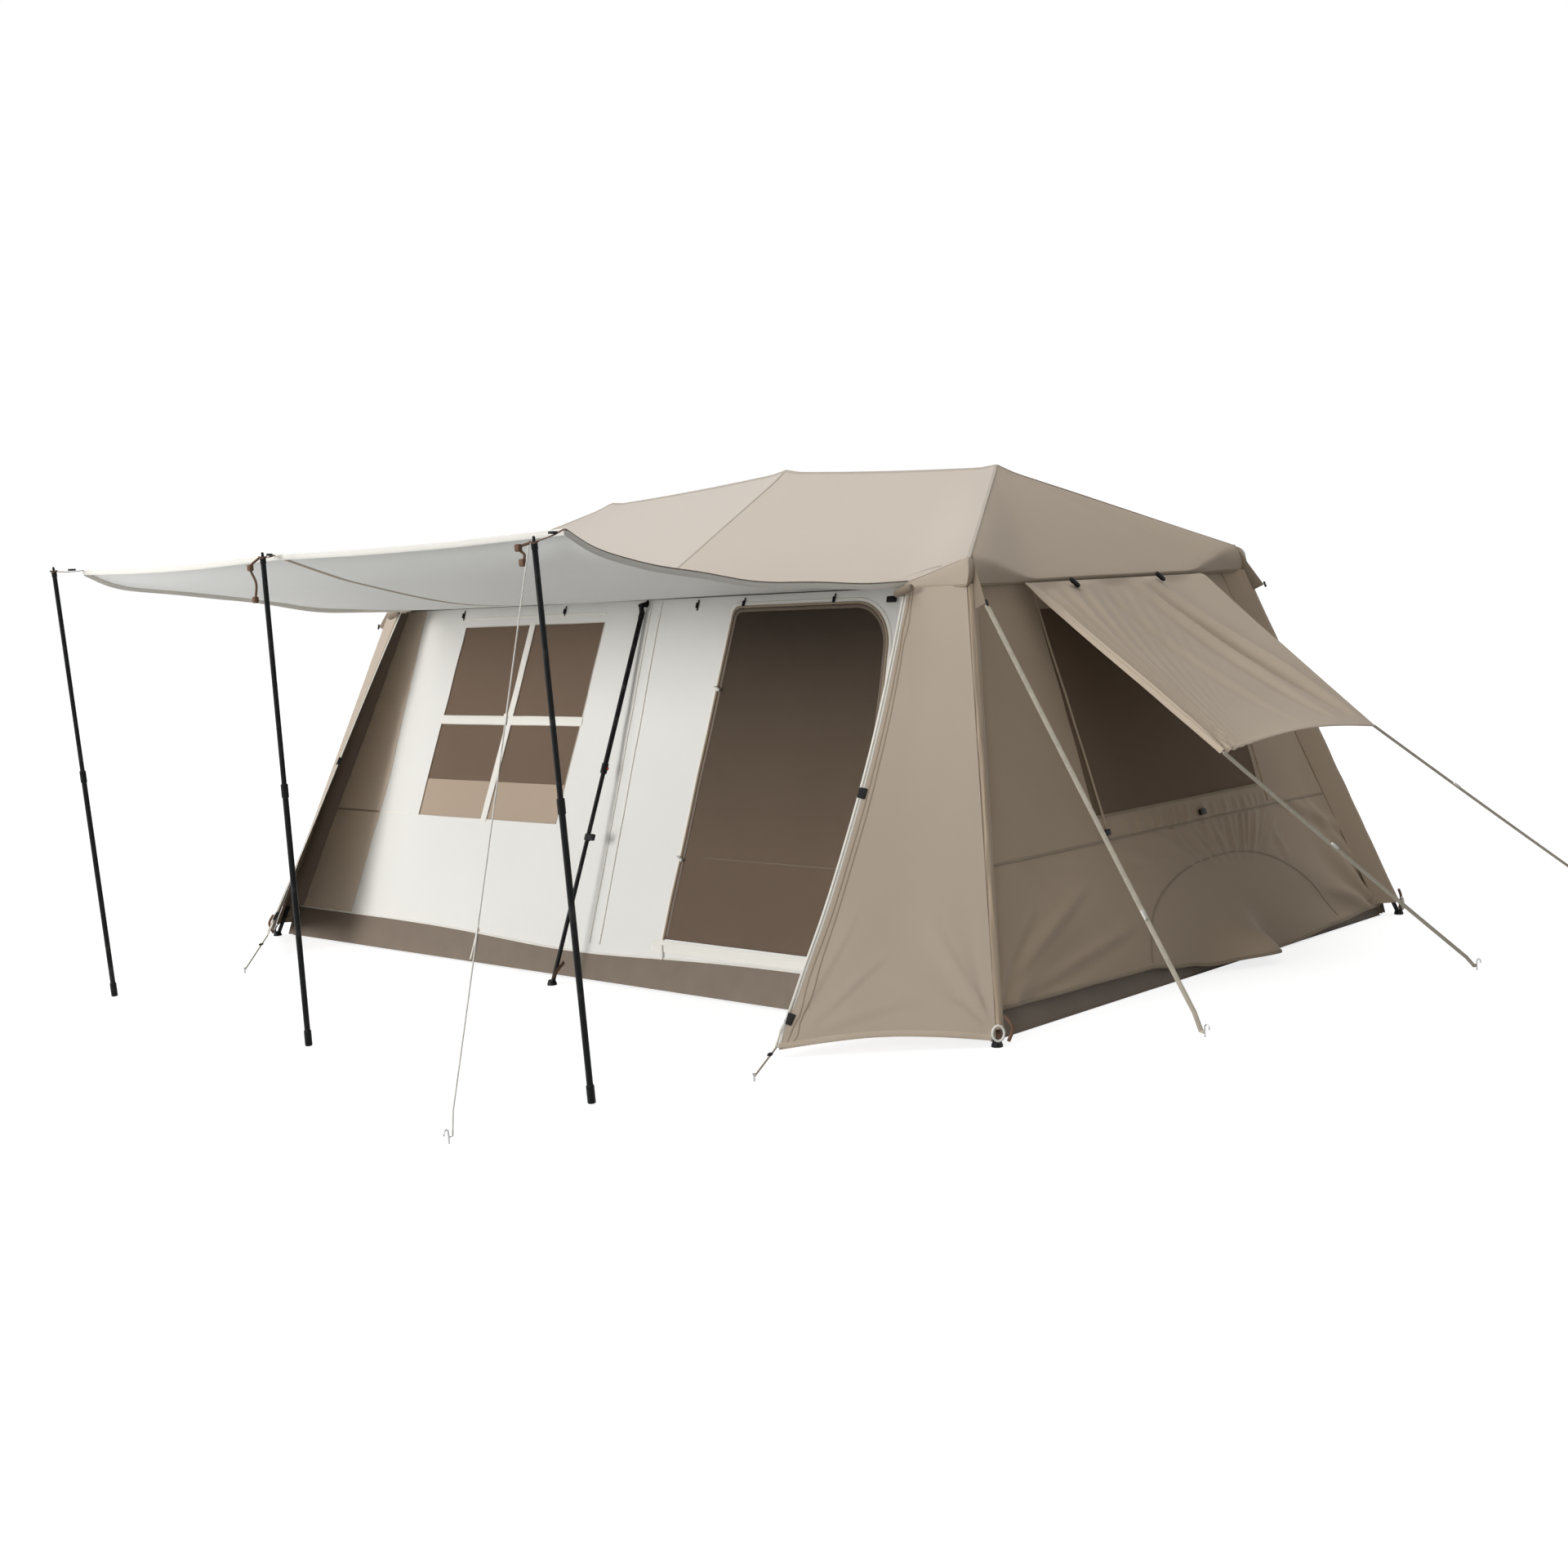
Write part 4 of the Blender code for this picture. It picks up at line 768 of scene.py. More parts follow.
def band_section(half_width, half_depth):
    """The outline of a flat band with rounded edges, as (across, out) pairs."""
    soft = min(half_depth, half_width)
    return [(half_width, -0.4 * half_depth), (half_width, 0.4 * half_depth),
            (half_width - soft, half_depth), (-half_width + soft, half_depth),
            (-half_width, 0.4 * half_depth), (-half_width, -0.4 * half_depth),
            (-half_width + soft, -half_depth), (half_width - soft, -half_depth)]


def curve_through(points, steps=6):
    """A smooth line through the given points."""
    points = [Vector(p) for p in points]
    if len(points) < 3:
        return points
    line = []
    for i in range(len(points) - 1):
        before = points[max(i - 1, 0)]
        a, b = points[i], points[i + 1]
        after = points[min(i + 2, len(points) - 1)]
        for k in range(steps):
            t = k / steps
            square = (2 * before - 5 * a + 4 * b - after) * t * t
            cube = (3 * a - before - 3 * b + after) * t ** 3
            line.append(0.5 * (2 * a + (b - before) * t + square + cube))
    line.append(points[-1])
    return line


def sweep(name, line, section, material, out=None, size=None, closed=False, **riding):
    """A section carried along a line. out gives the direction that the section's second value
    points in at each point, and size a scale for each point."""
    line = [Vector(p) for p in line]
    count, corners = len(line), len(section)
    points, cut, faces = [], [], []
    travelled = 0.0
    guide = None
    for i, spot in enumerate(line):
        if closed:
            way = line[(i + 1) % count] - line[i - 1]
        else:
            way = line[min(i + 1, count - 1)] - line[max(i - 1, 0)]
        way.normalize()
        if callable(out):
            guide = Vector(out(i))
        elif out is not None:
            guide = Vector(out)
        elif guide is None:
            guide = UP if abs(way.z) < 0.9 else Vector((1, 0, 0))
        normal = (guide - way * guide.dot(way)).normalized()
        if out is None:
            guide = normal
        across = way.cross(normal)
        grow = size(i / (count - 1)) if size else 1.0
        if i:
            travelled += (spot - line[i - 1]).length
        for a, b in section:
            points.append(spot + across * a * grow + normal * b * grow)
            cut.append((travelled, a))
    rings = count if closed else count - 1
    for i in range(rings):
        start, after = i * corners, ((i + 1) % count) * corners
        for k in range(corners):
            nxt = (k + 1) % corners
            faces.append((start + k, start + nxt, after + nxt, after + k))
    if not closed:
        faces.append(tuple(reversed(range(corners))))
        faces.append(tuple(range((count - 1) * corners, count * corners)))
    return new_piece(name, points, faces, cut, [material], **riding)


def turned(name, profile, place, material, steps=20, **riding):
    """A closed shape of revolution about place's Z axis. profile runs from axis to axis."""
    points, faces, cut = [], [], []
    rings = profile[1:-1]
    points.append(place @ Vector((0, 0, profile[0][1])))
    cut.append((0, 0))
    for radius, height in rings:
        for k in range(steps):
            a = math.tau * k / steps
            points.append(place @ Vector((radius * math.cos(a), radius * math.sin(a), height)))
            cut.append((a * radius, height))
    points.append(place @ Vector((0, 0, profile[-1][1])))
    cut.append((0, 0))
    last = len(points) - 1
    for k in range(steps):
        nxt = (k + 1) % steps
        faces.append((0, 1 + nxt, 1 + k))
        for ring in range(len(rings) - 1):
            a, b = 1 + ring * steps, 1 + (ring + 1) * steps
            faces.append((a + k, a + nxt, b + nxt, b + k))
        base = 1 + (len(rings) - 1) * steps
        faces.append((last, base + k, base + nxt))
    return new_piece(name, points, faces, cut, [material], **riding)


def pillow_box(name, place, half, material, bevel=0.25, **riding):
    """A small moulded block with rounded edges, half its size along each axis of place."""
    shape = bmesh.new()
    bmesh.ops.create_cube(shape, size=2)
    for corner in shape.verts:
        corner.co = Vector((corner.co.x * half[0], corner.co.y * half[1], corner.co.z * half[2]))
    bmesh.ops.bevel(shape, geom=list(shape.edges), offset=min(half) * bevel * 2, segments=2,
                    profile=0.5, affect="EDGES")
    shape.verts.ensure_lookup_table()
    points = [place @ corner.co for corner in shape.verts]
    faces = [tuple(corner.index for corner in face.verts) for face in shape.faces]
    cut = [(corner.co.x, corner.co.y) for corner in shape.verts]
    shape.free()
    return new_piece(name, points, faces, cut, [material], **riding)


def frame_at(origin, x_axis, z_axis):
    z = Vector(z_axis).normalized()
    x = Vector(x_axis)
    x = (x - x.dot(z) * z).normalized()
    placed = Matrix((x, z.cross(x), z)).transposed().to_4x4()
    placed.translation = Vector(origin)
    return placed


# Forms of the cloth
def ease(share):
    share = max(0.0, min(1.0, share))
    return share * share * (3 - 2 * share)


def between(low, high, share):
    return low + (high - low) * share


def within(value, low, high, rise, fall):
    """1 inside a stretch, fading to 0 at its ends over the two given distances."""
    return ease((value - low) / rise) * ease((high - value) / fall)


def arched(share):
    """0 at both ends and 1 in the middle."""
    return math.sin(math.pi * share)


def hump(off, width):
    """1 at the middle of a rounded rise, and little beyond its width."""
    return math.exp(-(off / width) ** 2)


def crease_profile(off, trough, gap):
    """A ridge with a lower trough beside it."""
    return hump(off, 1) - trough * hump(off - gap, 1)


def near_corner(u):
    """0 along the middle of an eave, and up to 1 at its corners."""
    return ease((abs(u) - 0.86) / 0.14)


def share_of(value, low, high):
    return (value - low) / (high - low)


def wall_share(z):
    """How far up a wall a height is, from 0 to 1."""
    return share_of(z, WALL_BASE_Z, WALL_TOP_Z)


def window_share(z):
    return share_of(z, *WINDOW_Z)


def mirrored(place, end, side):
    """A place given for the right back corner, at the corner of that end and side."""
    return Vector((end * place[0], side * place[1], place[2]))


def waves(place, size):
    """Soft noise from -1 to 1, with features of that size in metres."""
    return noise.noise(Vector(place) / size)


def profile_height(profile, y):
    """Height of a drawn outline at y, rounded between its points."""
    last = len(profile) - 1
    for i in range(last):
        (y0, z0), (y1, z1) = profile[i], profile[i + 1]
        if y >= y1 or i == last - 1:
            t = (y - y0) / (y1 - y0)
            before = profile[max(i - 1, 0)]
            after = profile[min(i + 2, last)]
            span = y1 - y0
            m0 = (z1 - before[1]) / (y1 - before[0]) * span if i else z1 - z0
            m1 = (after[1] - z0) / (after[0] - y0) * span if i + 2 <= last else z1 - z0
            return ((2 * t ** 3 - 3 * t * t + 1) * z0 + (t ** 3 - 2 * t * t + t) * m0
                    + (3 * t * t - 2 * t ** 3) * z1 + (t ** 3 - t * t) * m1)
    return profile[-1][1]


def eave_height(u):
    rise = ease((abs(u) - EAVE_RISE_START) / (1 - EAVE_RISE_START))
    return between(EAVE_MIDDLE_Z, EAVE_CORNER_Z, rise)


def hub_lift(x, y):
    """The cloth stands up over the hubs at the middle and ends of the ridge."""
    lift = 0.0
    for hub in (-RIDGE_HALF, 0.0, RIDGE_HALF):
        lift = max(lift, HUB_LIFT * hump(math.hypot(x - hub, y), HUB_SPREAD))
    return lift


def slope_point(u, share, side):
    """The front (side -1) or back (side 1) slope of the roof; u runs from -1 to 1."""
    half = RIDGE_HALF + (EAVE_X - RIDGE_HALF) * share
    ridge_z = between(RIDGE_CLOTH_MIDDLE_Z, RIDGE_CLOTH_END_Z, abs(u))
    ridge_z -= RIDGE_SAG * arched(abs(u)) * (1 - share)
    z = between(ridge_z, eave_height(u), share)
    z -= ROOF_SAG * arched(share) * arched(abs(u))
    x, y = u * half, side * EAVE_Y * share
    z += ROOF_RIPPLE * waves((x * 0.6, y, 0.3 * side), 0.25) * arched(share)
    return Vector((x, y, z + hub_lift(x, y) - ROOF_DROP))


def awning_point(u, share):
    front = AWNING_FRONT_Y + AWNING_FRONT_BOW * (1 - abs(u) ** 1.6)
    y = -(EAVE_Y + (front - EAVE_Y) * share)
    narrow = ease(share / AWNING_ROOT)
    half = between(EAVE_X, AWNING_HALF, narrow) - AWNING_WAIST * arched(share) * narrow
    edge = abs(u) ** 1.5
    z = between(profile_height(AWNING_MIDDLE, y), profile_height(AWNING_SIDE, y), edge)
    if u < 0:
        z += AWNING_LEFT_LIFT * edge * hump(y + 2.1, 0.42)
    z = between(eave_height(u), z, narrow)
    z -= AWNING_SAG * arched(abs(u)) * math.sin(0.75 * math.pi * share)
    rim = ease((abs(u) - 0.9) / 0.1)
    z += AWNING_RIM_WAVE * rim * math.sin(19 * share + 2 * u) * arched(share)
    pull = math.exp(-((1 - abs(u)) ** 2 + (1 - share) ** 2) / 0.05)
    spread = math.atan2(1 - share, 1 - abs(u) + 1e-6)
    z += AWNING_CORNER_PULL * pull * math.cos(7 * spread) * ease((1 - share) * 8)
    z += ROOF_RIPPLE * waves((u * 1.4, share * 2.2, 5.0), 0.35)
    return Vector((u * half, y, z))


def front_roof(u, v):
    u = 2 * u - 1
    if v <= SLOPE_SHARE:
        return slope_point(u, v / SLOPE_SHARE, -1)
    return awning_point(u, share_of(v, SLOPE_SHARE, 1))


def back_roof(u, v):
    """The back slope, a short overhang and the strip that hangs to the seam with the wall."""
    u = 1 - 2 * u
    if v <= BACK_SHARE:
        return slope_point(u, v / BACK_SHARE, 1)
    share = share_of(v, BACK_SHARE, 1)
    edge = slope_point(u, 1, 1)
    drop = edge.z - VALANCE_Z + 0.012
    reach = 0.05 * arched(min(1, share * 1.3)) - 0.03 * share
    reach += 0.066 * share * near_corner(u)
    return edge + Vector((0, reach, -drop * share ** 1.4))


def hip_cloth(end):
    """A hip of the roof and the strip that hangs from it to the seam with the end wall."""
    def surface(u, v):
        u = (2 * u - 1) * end
        if v <= HIP_SHARE:
            share = v / HIP_SHARE
            across = EAVE_Y * share
            corner = between(RIDGE_CLOTH_END_Z, EAVE_CORNER_Z, share)
            low = HIP_EAVE_DROP * share ** 2 * (1 - ease((abs(u) - 0.55) / 0.45))
            x = between(RIDGE_HALF, EAVE_X, share) + 0.004
            z = corner - low + ROOF_RIPPLE * waves((u, share, 2.0 * end), 0.3)
            z += hub_lift(x, across * u) - ROOF_DROP
            return Vector((end * x, u * across, z))
        share = share_of(v, HIP_SHARE, 1)
        top = surface((u * end + 1) / 2, HIP_SHARE)
        low_x = END_WALL_X[1] + 0.012 + 0.046 * near_corner(u)
        bulge = 0.010 * arched(share)
        wide = 1 + 0.048 * share ** 0.45 * near_corner(u)
        return Vector((end * (between(abs(top.x), low_x, share) + bulge), top.y * wide,
                       between(top.z, VALANCE_Z, share)))
    return surface


def leg_point(end, side, z, middle=False):
    """The middle line of a leg at a height."""
    top = Vector(MIDDLE_ELBOW if middle else CORNER_ELBOW)
    foot = Vector(MIDDLE_FOOT if middle else CORNER_FOOT)
    return mirrored(top.lerp(foot, (top.z - z) / top.z), end, side)


def creased(y, z, creases, width):
    """How far creases lift the cloth at a place on it."""
    lift = 0.0
    for y0, z0, y1, z1, deep in creases:
        run_y, run_z = y1 - y0, z1 - z0
        length = math.hypot(run_y, run_z)
        share = ((y - y0) * run_y + (z - z0) * run_z) / length ** 2
        if 0 < share < 1:
            off = ((y - y0) * run_z - (z - z0) * run_y) / length / width
            lift += deep * crease_profile(off, 0.6, 1.5) * arched(share) ** 0.6
    return lift


def wing_cloth(end):
    tip = Vector(WING_TIPS["left" if end < 0 else "right"])

    def surface(u, v):
        """u runs from the leg to the free edge, v from the top down."""
        z = between(WING_TOP[2], WING_LOW_Z, v)
        leg = leg_point(end, -1, z) + mirrored(WING_LEG_OFFSET, end, -1)
        free = mirrored(WING_TOP, end, 1).lerp(tip, v)
        free += (leg - free).normalized() * WING_BOW * arched(v)
        spot = leg.lerp(free, u)
        wave = WING_FOLD * arched(u) * math.sin(2.5 * math.pi * u + 1.2 * v) * v
        rise = 0.03 * arched(u) * v ** 4
        far = math.hypot(1 - u, (1 - v) * 1.7)
        wave += 0.005 * math.exp(-far * 2.2) * math.sin(9 * math.atan2(1 - v, 1 - u + 0.01))
        wave += 0.005 * waves((u * 0.8, v * 1.6, 3.0), 0.22) * arched(u)
        wide, tall = WING_SIZE
        foot = math.hypot(u * wide, (1 - v) * tall)
        turn = math.atan2((1 - v) * tall, u * wide + 0.01)
        wave += 0.013 * math.exp(-foot / 0.32) * math.sin(13 * turn) * ease(foot / 0.12)
        wave += creased((1 - u) * wide, (1 - v) * tall, WING_CREASES, WING_CREASE_WIDTH)
        wave *= ease(u / 0.08)
        return spot + Vector((end * wave, wave * 0.5, rise))
    return surface


class Wall:
    """A sloping wall: its plane, and the soft waves that its cloth and trim share."""

    def __init__(self, word, outward, reach, seed):
        self.word = word
        self.outward = Vector(outward)
        self.across = UP.cross(self.outward)
        self.base = self.outward * reach[0] + UP * WALL_BASE_Z
        top = self.outward * reach[1] + UP * WALL_TOP_Z
        self.up = (top - self.base).normalized()
        self.normal = self.across.cross(self.up)
        self.place = frame_at(self.base, self.across, self.normal)
        self.seed = seed

    def rise(self, z):
        return (z - WALL_BASE_Z) / self.up.z

    def relief(self, x, z):
        depth = sizes().ripple
        soft = depth * waves((x * 1.2, z * 0.5, self.seed), 0.30)
        soft += 0.45 * depth * waves((x * 1.0 + z * 0.7, z * 0.5, self.seed + 7), 0.12)
        return soft * within(z, 0, WALL_TOP_Z, 0.2, 0.1)

    def at(self, x, z, lift=0.0):
        out = self.relief(x, z) + lift
        return self.base + self.across * x + self.up * self.rise(z) + self.normal * out


class EndWall(Wall):
    """An end wall, with gathers under the window and an arched panel that flares at its foot."""

    def relief(self, x, z):
        soft = super().relief(x, z)
        y = x * self.outward.x
        inside = within(y, *GATHER_Y, 0.15, 0.15)
        gather, fan = (hump(z - row_z, deep) * inside for row_z, deep in GATHER_ROWS)
        gather *= 0.3 * sizes().pleat * math.sin(46 * y + 2.2 * math.sin(7 * y) + 3 * z)
        spread = math.atan2(y - FAN_CENTRE[0], z - FAN_CENTRE[1] + 1e-6)
        fan *= 0.5 * sizes().pleat * math.sin(24 * spread)
        middle, reach, tall = FLARE
        side = FLARE_SIDES[0] if y < middle else FLARE_SIDES[1]
        flare = reach * hump(y - middle, side) * ease((tall - z) / tall) ** 2.2
        swell = 0.012 * arched(ease((z - 0.05) / 0.5)) * ease((1.3 - abs(y)) / 0.6)
        sag = -0.006 * ease((0.35 - z) / 0.35) * math.sin(5.5 * y + 0.6)
        to_corner = END_WALL_HALF[0] - abs(y)
        far = math.hypot(to_corner, z)
        turn = math.atan2(z, to_corner + 1e-6)
        tug = 0.016 * math.exp(-far / 0.45) * ease(far / 0.15) * math.sin(15 * turn + y)
        tug *= ease((1.44 - abs(y)) / 0.1)
        tug += creased(y, z, CREASES, CREASE_WIDTH)
        return soft + gather + fan + flare + swell + tug + sag * ease((1.4 - abs(y)) / 0.3)


WALLS = {wall.word: wall for wall in (
    Wall("front", (0, -1, 0), LONG_WALL_Y, 1.0), Wall("back", (0, 1, 0), LONG_WALL_Y, 11.0),
    EndWall("right", (1, 0, 0), END_WALL_X, 21.0), EndWall("left", (-1, 0, 0), END_WALL_X, 31.0))}


def hem_height(y):
    """Height of an end wall's lower edge."""
    for (y0, z0), (y1, z1) in zip(END_HEM, END_HEM[1:]):
        if y <= y1:
            return between(z0, z1, ease((y - y0) / (y1 - y0)))
    return END_HEM[-1][1]


def long_wall_half(z):
    return between(*LONG_WALL_HALF, wall_share(z))


def long_wall_cloth(wall):
    def surface(u, v):
        z = between(WALL_BASE_Z, WALL_TOP_Z, v)
        return wall.at((2 * u - 1) * long_wall_half(z), z, -CLOTH_INSET)
    return surface


def skirt_cloth(wall, head, wave, seed):
    """The coated strip along the ground at a long wall; head gives its height at x."""
    def surface(u, v):
        x = between(-SKIRT_HALF, SKIRT_HALF, u)
        wavy = wave * waves((x, 0.2, seed), 0.25) * (1 - v)
        return wall.at(x, between(0.004, head(x), v), 0.003 + 0.012 * (1 - v) + wavy)
    cloth_piece(f"{wall.word}_skirt", surface, 120, 8, (4.50, 0.16), "hung", "skirt_cloth",
                slot="ground_brown")


def arc(centre_x, centre_y, radius, start, end, steps):
    turns = [math.radians(between(start, end, i / steps)) for i in range(steps + 1)]
    return [(centre_x + radius * math.cos(a), centre_y + radius * math.sin(a)) for a in turns]


def door_outline(inset, steps=10):
    """The door's edge as (x, z)."""
    low, high = DOOR_Z[0] + inset, DOOR_Z[1] - inset
    left = (DOOR_LEFT_X[0] + inset, DOOR_LEFT_X[1] + inset)
    right = (DOOR_RIGHT_X[0] - inset, DOOR_RIGHT_X[1] - inset)
    big, small = DOOR_CORNER_RADIUS - inset, DOOR_SMALL_RADIUS
    line = [(left[0], low), (right[0], low)]
    line += arc(right[1] - big, high - big, big, 0, 90, steps)
    line += arc(left[1] + small, high - small, small, 90, 180, 4)
    return line


def door_ring(inset):
    """The door's edge from the foot of its right side round to it again."""
    outline = door_outline(inset, 14)
    return outline[1:] + outline[:1]


def pane_corners():
    """The four panes of the front window, as corner lists of (x, z)."""
    half = sizes().window_bar / 2
    bars = [(WINDOW_BAR_X[0] - half, WINDOW_BAR_X[1] - half),
            (WINDOW_BAR_X[0] + half, WINDOW_BAR_X[1] + half)]
    panes = []
    for low, high in ((WINDOW_Z[0], WINDOW_BAR_Z - half), (WINDOW_BAR_Z + half, WINDOW_Z[1])):
        for left, right in ((WINDOW_LEFT_X, bars[0]), (bars[1], WINDOW_RIGHT_X)):
            corners = []
            for z, order in ((low, (left, right)), (high, (right, left))):
                corners += [(between(*side, window_share(z)), z) for side in order]
            panes.append(corners)
    return panes


def on_plane(wall, outline):
    """An outline in (x, z) as the wall's own flat coordinates."""
    return [(x, wall.rise(z)) for x, z in outline]


def flap_cloth(end, angle):
    way = math.radians(angle)
    slack = FLAP_SLACK[angle]

    def surface(u, v):
        half = between(FLAP_HALF, FLAP_BOTTOM_HALF, v)
        y = (2 * u - 1) * half * end
        length = FLAP_LENGTH * v
        belly = slack * arched(v) * arched(u)
        if angle == FLAP_OPEN:
            near = u / (0.13 * (1 - 0.7 * v))
            belly -= 0.018 * math.exp(-0.6 * near) * math.sin(9.5 * near) * ease(v / 0.15)
            for start, drift, deep in FLAP_FOLDS:
                far = (u - start - drift * v) / (0.034 * (1.1 - 0.4 * v))
                belly += deep * crease_profile(far, 0.7, 1.4) * arched(min(1, v * 1.05)) ** 0.7
            belly += 0.012 * math.sin(17 * u + 2.0 * v) * math.exp(-v * 5) * ease(v / 0.03)
        belly += 0.004 * waves((u * 1.2, v, 9.0), 0.25) * arched(v)
        x = FLAP_PIN[0] + length * math.sin(way) - belly * math.cos(way)
        z = FLAP_PIN[1] - length * math.cos(way) - belly * math.sin(way)
        z += slack * 1.2 * arched(u) * v ** 6
        return Vector((end * x, y, z))
    return surface


# Trim
def surface_out(surface, path, flip=1.0, step=0.004):
    """The outward direction of a bent sheet at each point of a path of (u, v)."""
    outs = []
    for u, v in path:
        along_u = surface(min(1, u + step), v) - surface(max(0, u - step), v)
        along_v = surface(u, min(1, v + step)) - surface(u, max(0, v - step))
        outs.append(along_u.cross(along_v).normalized() * flip)
    return outs


def seam(name, surface, path, width, material, flip=1.0, lift=0.0012, depth=0.0009, **riding):
    """A flat stitched seam or tape that lies on a sheet along a path of (u, v)."""
    outs = surface_out(surface, path, flip)
    line = [surface(u, v) + out * lift for (u, v), out in zip(path, outs)]
    return sweep(name, line, band_section(width / 2, depth), material, out=lambda i: outs[i],
                 **riding)


def edge_hem(name, surface, path, width, material, flip=1.0, **riding):
    """A turned edge that wraps the rim of a sheet along a path of (u, v)."""
    return seam(name, surface, path, width, material, flip, 0.0, 0.0022, **riding)


def run(start, end, count):
    """Evenly spaced (u, v) points from start to end."""
    return [(between(start[0], end[0], i / count), between(start[1], end[1], i / count))
            for i in range(count + 1)]


def wall_trim(name, wall, points, section, material, lift, steps, **riding):
    """A section swept over a wall along straight runs between (x, z) corners."""
    line = [wall.at(x, z, lift) for a, b in zip(points, points[1:])
            for x, z in run(a, b, steps)[:-1]]
    line.append(wall.at(*points[-1], lift))
    return sweep(name, line, section, material, out=wall.normal, **riding)


def wall_band(name, wall, points, width, material, lift=0.001, depth=0.001, steps=8, **riding):
    return wall_trim(name, wall, points, band_section(width / 2, depth), material, lift, steps,
                     **riding)


def wall_piping(name, wall, points, radius, material, lift=0.002, steps=8, **riding):
    return wall_trim(name, wall, points, round_section(radius), material, lift, steps, **riding)


def toggle(name, spot, out, along, material="black_plastic", size=1.0, slot="hub_plastic",
           **riding):
    """A small barrel toggle on a loop, standing on the cloth."""
    place = frame_at(Vector(spot) + Vector(out).normalized() * 0.007 * size, out, along)
    half = [(0, 0.016), (0.004, 0.016), (0.0055, 0.013), (0.0062, 0.004)]
    profile = [(r, -h) for r, h in half] + [(0.0048, 0)] + half[::-1]
    profile = [(r * size, h * size) for r, h in profile]
    return turned(name, profile, place, material, 14, slot=slot, **riding)


def clip(name, spot, out, along, size=1.0):
    """A side-squeeze clip, as a rounded block with its strap end."""
    place = frame_at(Vector(spot) + Vector(out).normalized() * 0.006 * size, along, out)
    half = (0.020 * size, 0.011 * size, 0.0055 * size)
    return pillow_box(name, place, half, "black_plastic", slot="hub_plastic")


# Operators
def add_camera():
    yaw, pitch, roll = (math.radians(a) for a in (CAMERA_YAW, CAMERA_PITCH, CAMERA_ROLL))
    ahead = Vector((math.sin(yaw) * math.cos(pitch), math.cos(yaw) * math.cos(pitch),
                    math.sin(pitch)))
    right = Vector((math.cos(yaw), -math.sin(yaw), 0))
    up = right.cross(ahead)
    x_axis = math.cos(roll) * right + math.sin(roll) * up
    y_axis = -math.sin(roll) * right + math.cos(roll) * up
    lens = bpy.data.cameras.new("photo_camera")
    lens.sensor_width = 36
    lens.lens = CAMERA_LENS
    lens.clip_end = 100
    camera = bpy.data.objects.new("photo_camera", lens)
    placed = Matrix((x_axis, y_axis, -ahead)).transposed().to_4x4()
    placed.translation = Vector(CAMERA_PLACE)
    camera.matrix_world = placed
    bpy.context.scene.collection.objects.link(camera)
    bpy.context.scene.camera = camera


def add_light(name, kind, toward, power):
    light = bpy.data.lights.new(name, kind)
    light.energy = power
    lamp = bpy.data.objects.new(name, light)
    lamp.rotation_euler = Vector(toward).to_track_quat("Z", "Y").to_euler()
    bpy.context.scene.collection.objects.link(lamp)
    return light, lamp


def add_sun(name, toward, level, spread):
    """A soft sun that lights a square-on white surface to that level."""
    light, _ = add_light(name, "SUN", toward, level * math.pi)
    light.angle = math.radians(spread)


def add_bounce(place, aim, size, power):
    """A soft panel near the ground that lights the awning's lining from below."""
    light, lamp = add_light("low_panel", "AREA", Vector(place) - Vector(aim), power)
    light.shape = "DISK"
    light.size = size
    lamp.location = place
    lamp.visible_camera = lamp.visible_glossy = False


def seen_directly(w):
    """1 where the camera, a reflection or a view through glass meets the surface."""
    path = w.node("ShaderNodeLightPath").outputs
    both = w.math("ADD", path["Is Camera Ray"], path["Is Glossy Ray"])
    return w.math("MINIMUM", w.math("ADD", both, path["Is Transmission Ray"]), 1.0)


class TENT_OT_stage(Operator):
    """Adds the floor, the light and the camera"""
    bl_idname = "tent.stage"
    bl_label = "Stage"

    def execute(self, context):
        scene = context.scene
        scene.view_settings.view_transform = "Standard"
        add_camera()
        add_sun("front_light", (-0.20, -0.95, 0.20), 0.56, 24)
        add_sun("top_light", (-0.10, -0.35, 1.0), 0.42, 60)
        add_bounce((-2.0, -4.4, 0.04), (-1.0, -1.9, 1.7), 3.0, 52)
        world = bpy.data.worlds.new("studio")
        scene.world = world
        world.use_nodes = True
        w = Wiring(world.node_tree)
        w.feed_all(world.node_tree.nodes["Background"].inputs,
                   {"Strength": w.span(seen_directly(w), 0, 1, 0.22, 1.0), "Color": (1, 1, 1, 1)})
        mesh = bpy.data.meshes.new("studio_floor")
        reach = 40.0
        mesh.from_pydata([(-reach, -reach, -0.001), (reach, -reach, -0.001),
                          (reach, reach, -0.001), (-reach, reach, -0.001)], [], [(0, 1, 2, 3)])
        material, w, shader = bare_material("studio_floor")
        w.feed_all(shader, {"Base Color": (0.40, 0.40, 0.40, 1), "Roughness": 0.9,
                            "Emission Color": (1, 1, 1, 1),
                            "Emission Strength": w.span(seen_directly(w), 0, 1, 0.0, 0.80)})
        mesh.materials.append(material)
        floor = bpy.data.objects.new("studio_floor", mesh)
        scene.collection.objects.link(floor)
        return {"FINISHED"}


def guy_route(top, spot):
    """A taut cord's points from its top to the face of its peg."""
    peg = Vector((*PEG_SPOTS[spot], GUY_HEIGHT_AT_PEG))
    plan = Vector((peg.x - top.x, peg.y - top.y, 0)).normalized()
    end = peg - plan * (PEG_RADIUS + GUY_GAP)
    route = []
    for i in range(24):
        share = i / 24
        place = top.lerp(end, share)
        place.z -= GUY_SAG * 4 * share * (1 - share)
        route.append(place)
    return route + [end - plan * GUY_END_LENGTH, end]


def declare_cord(route, width):
    tuple(route[0])
    line_length(route)
    [tuple(p) for p in route]


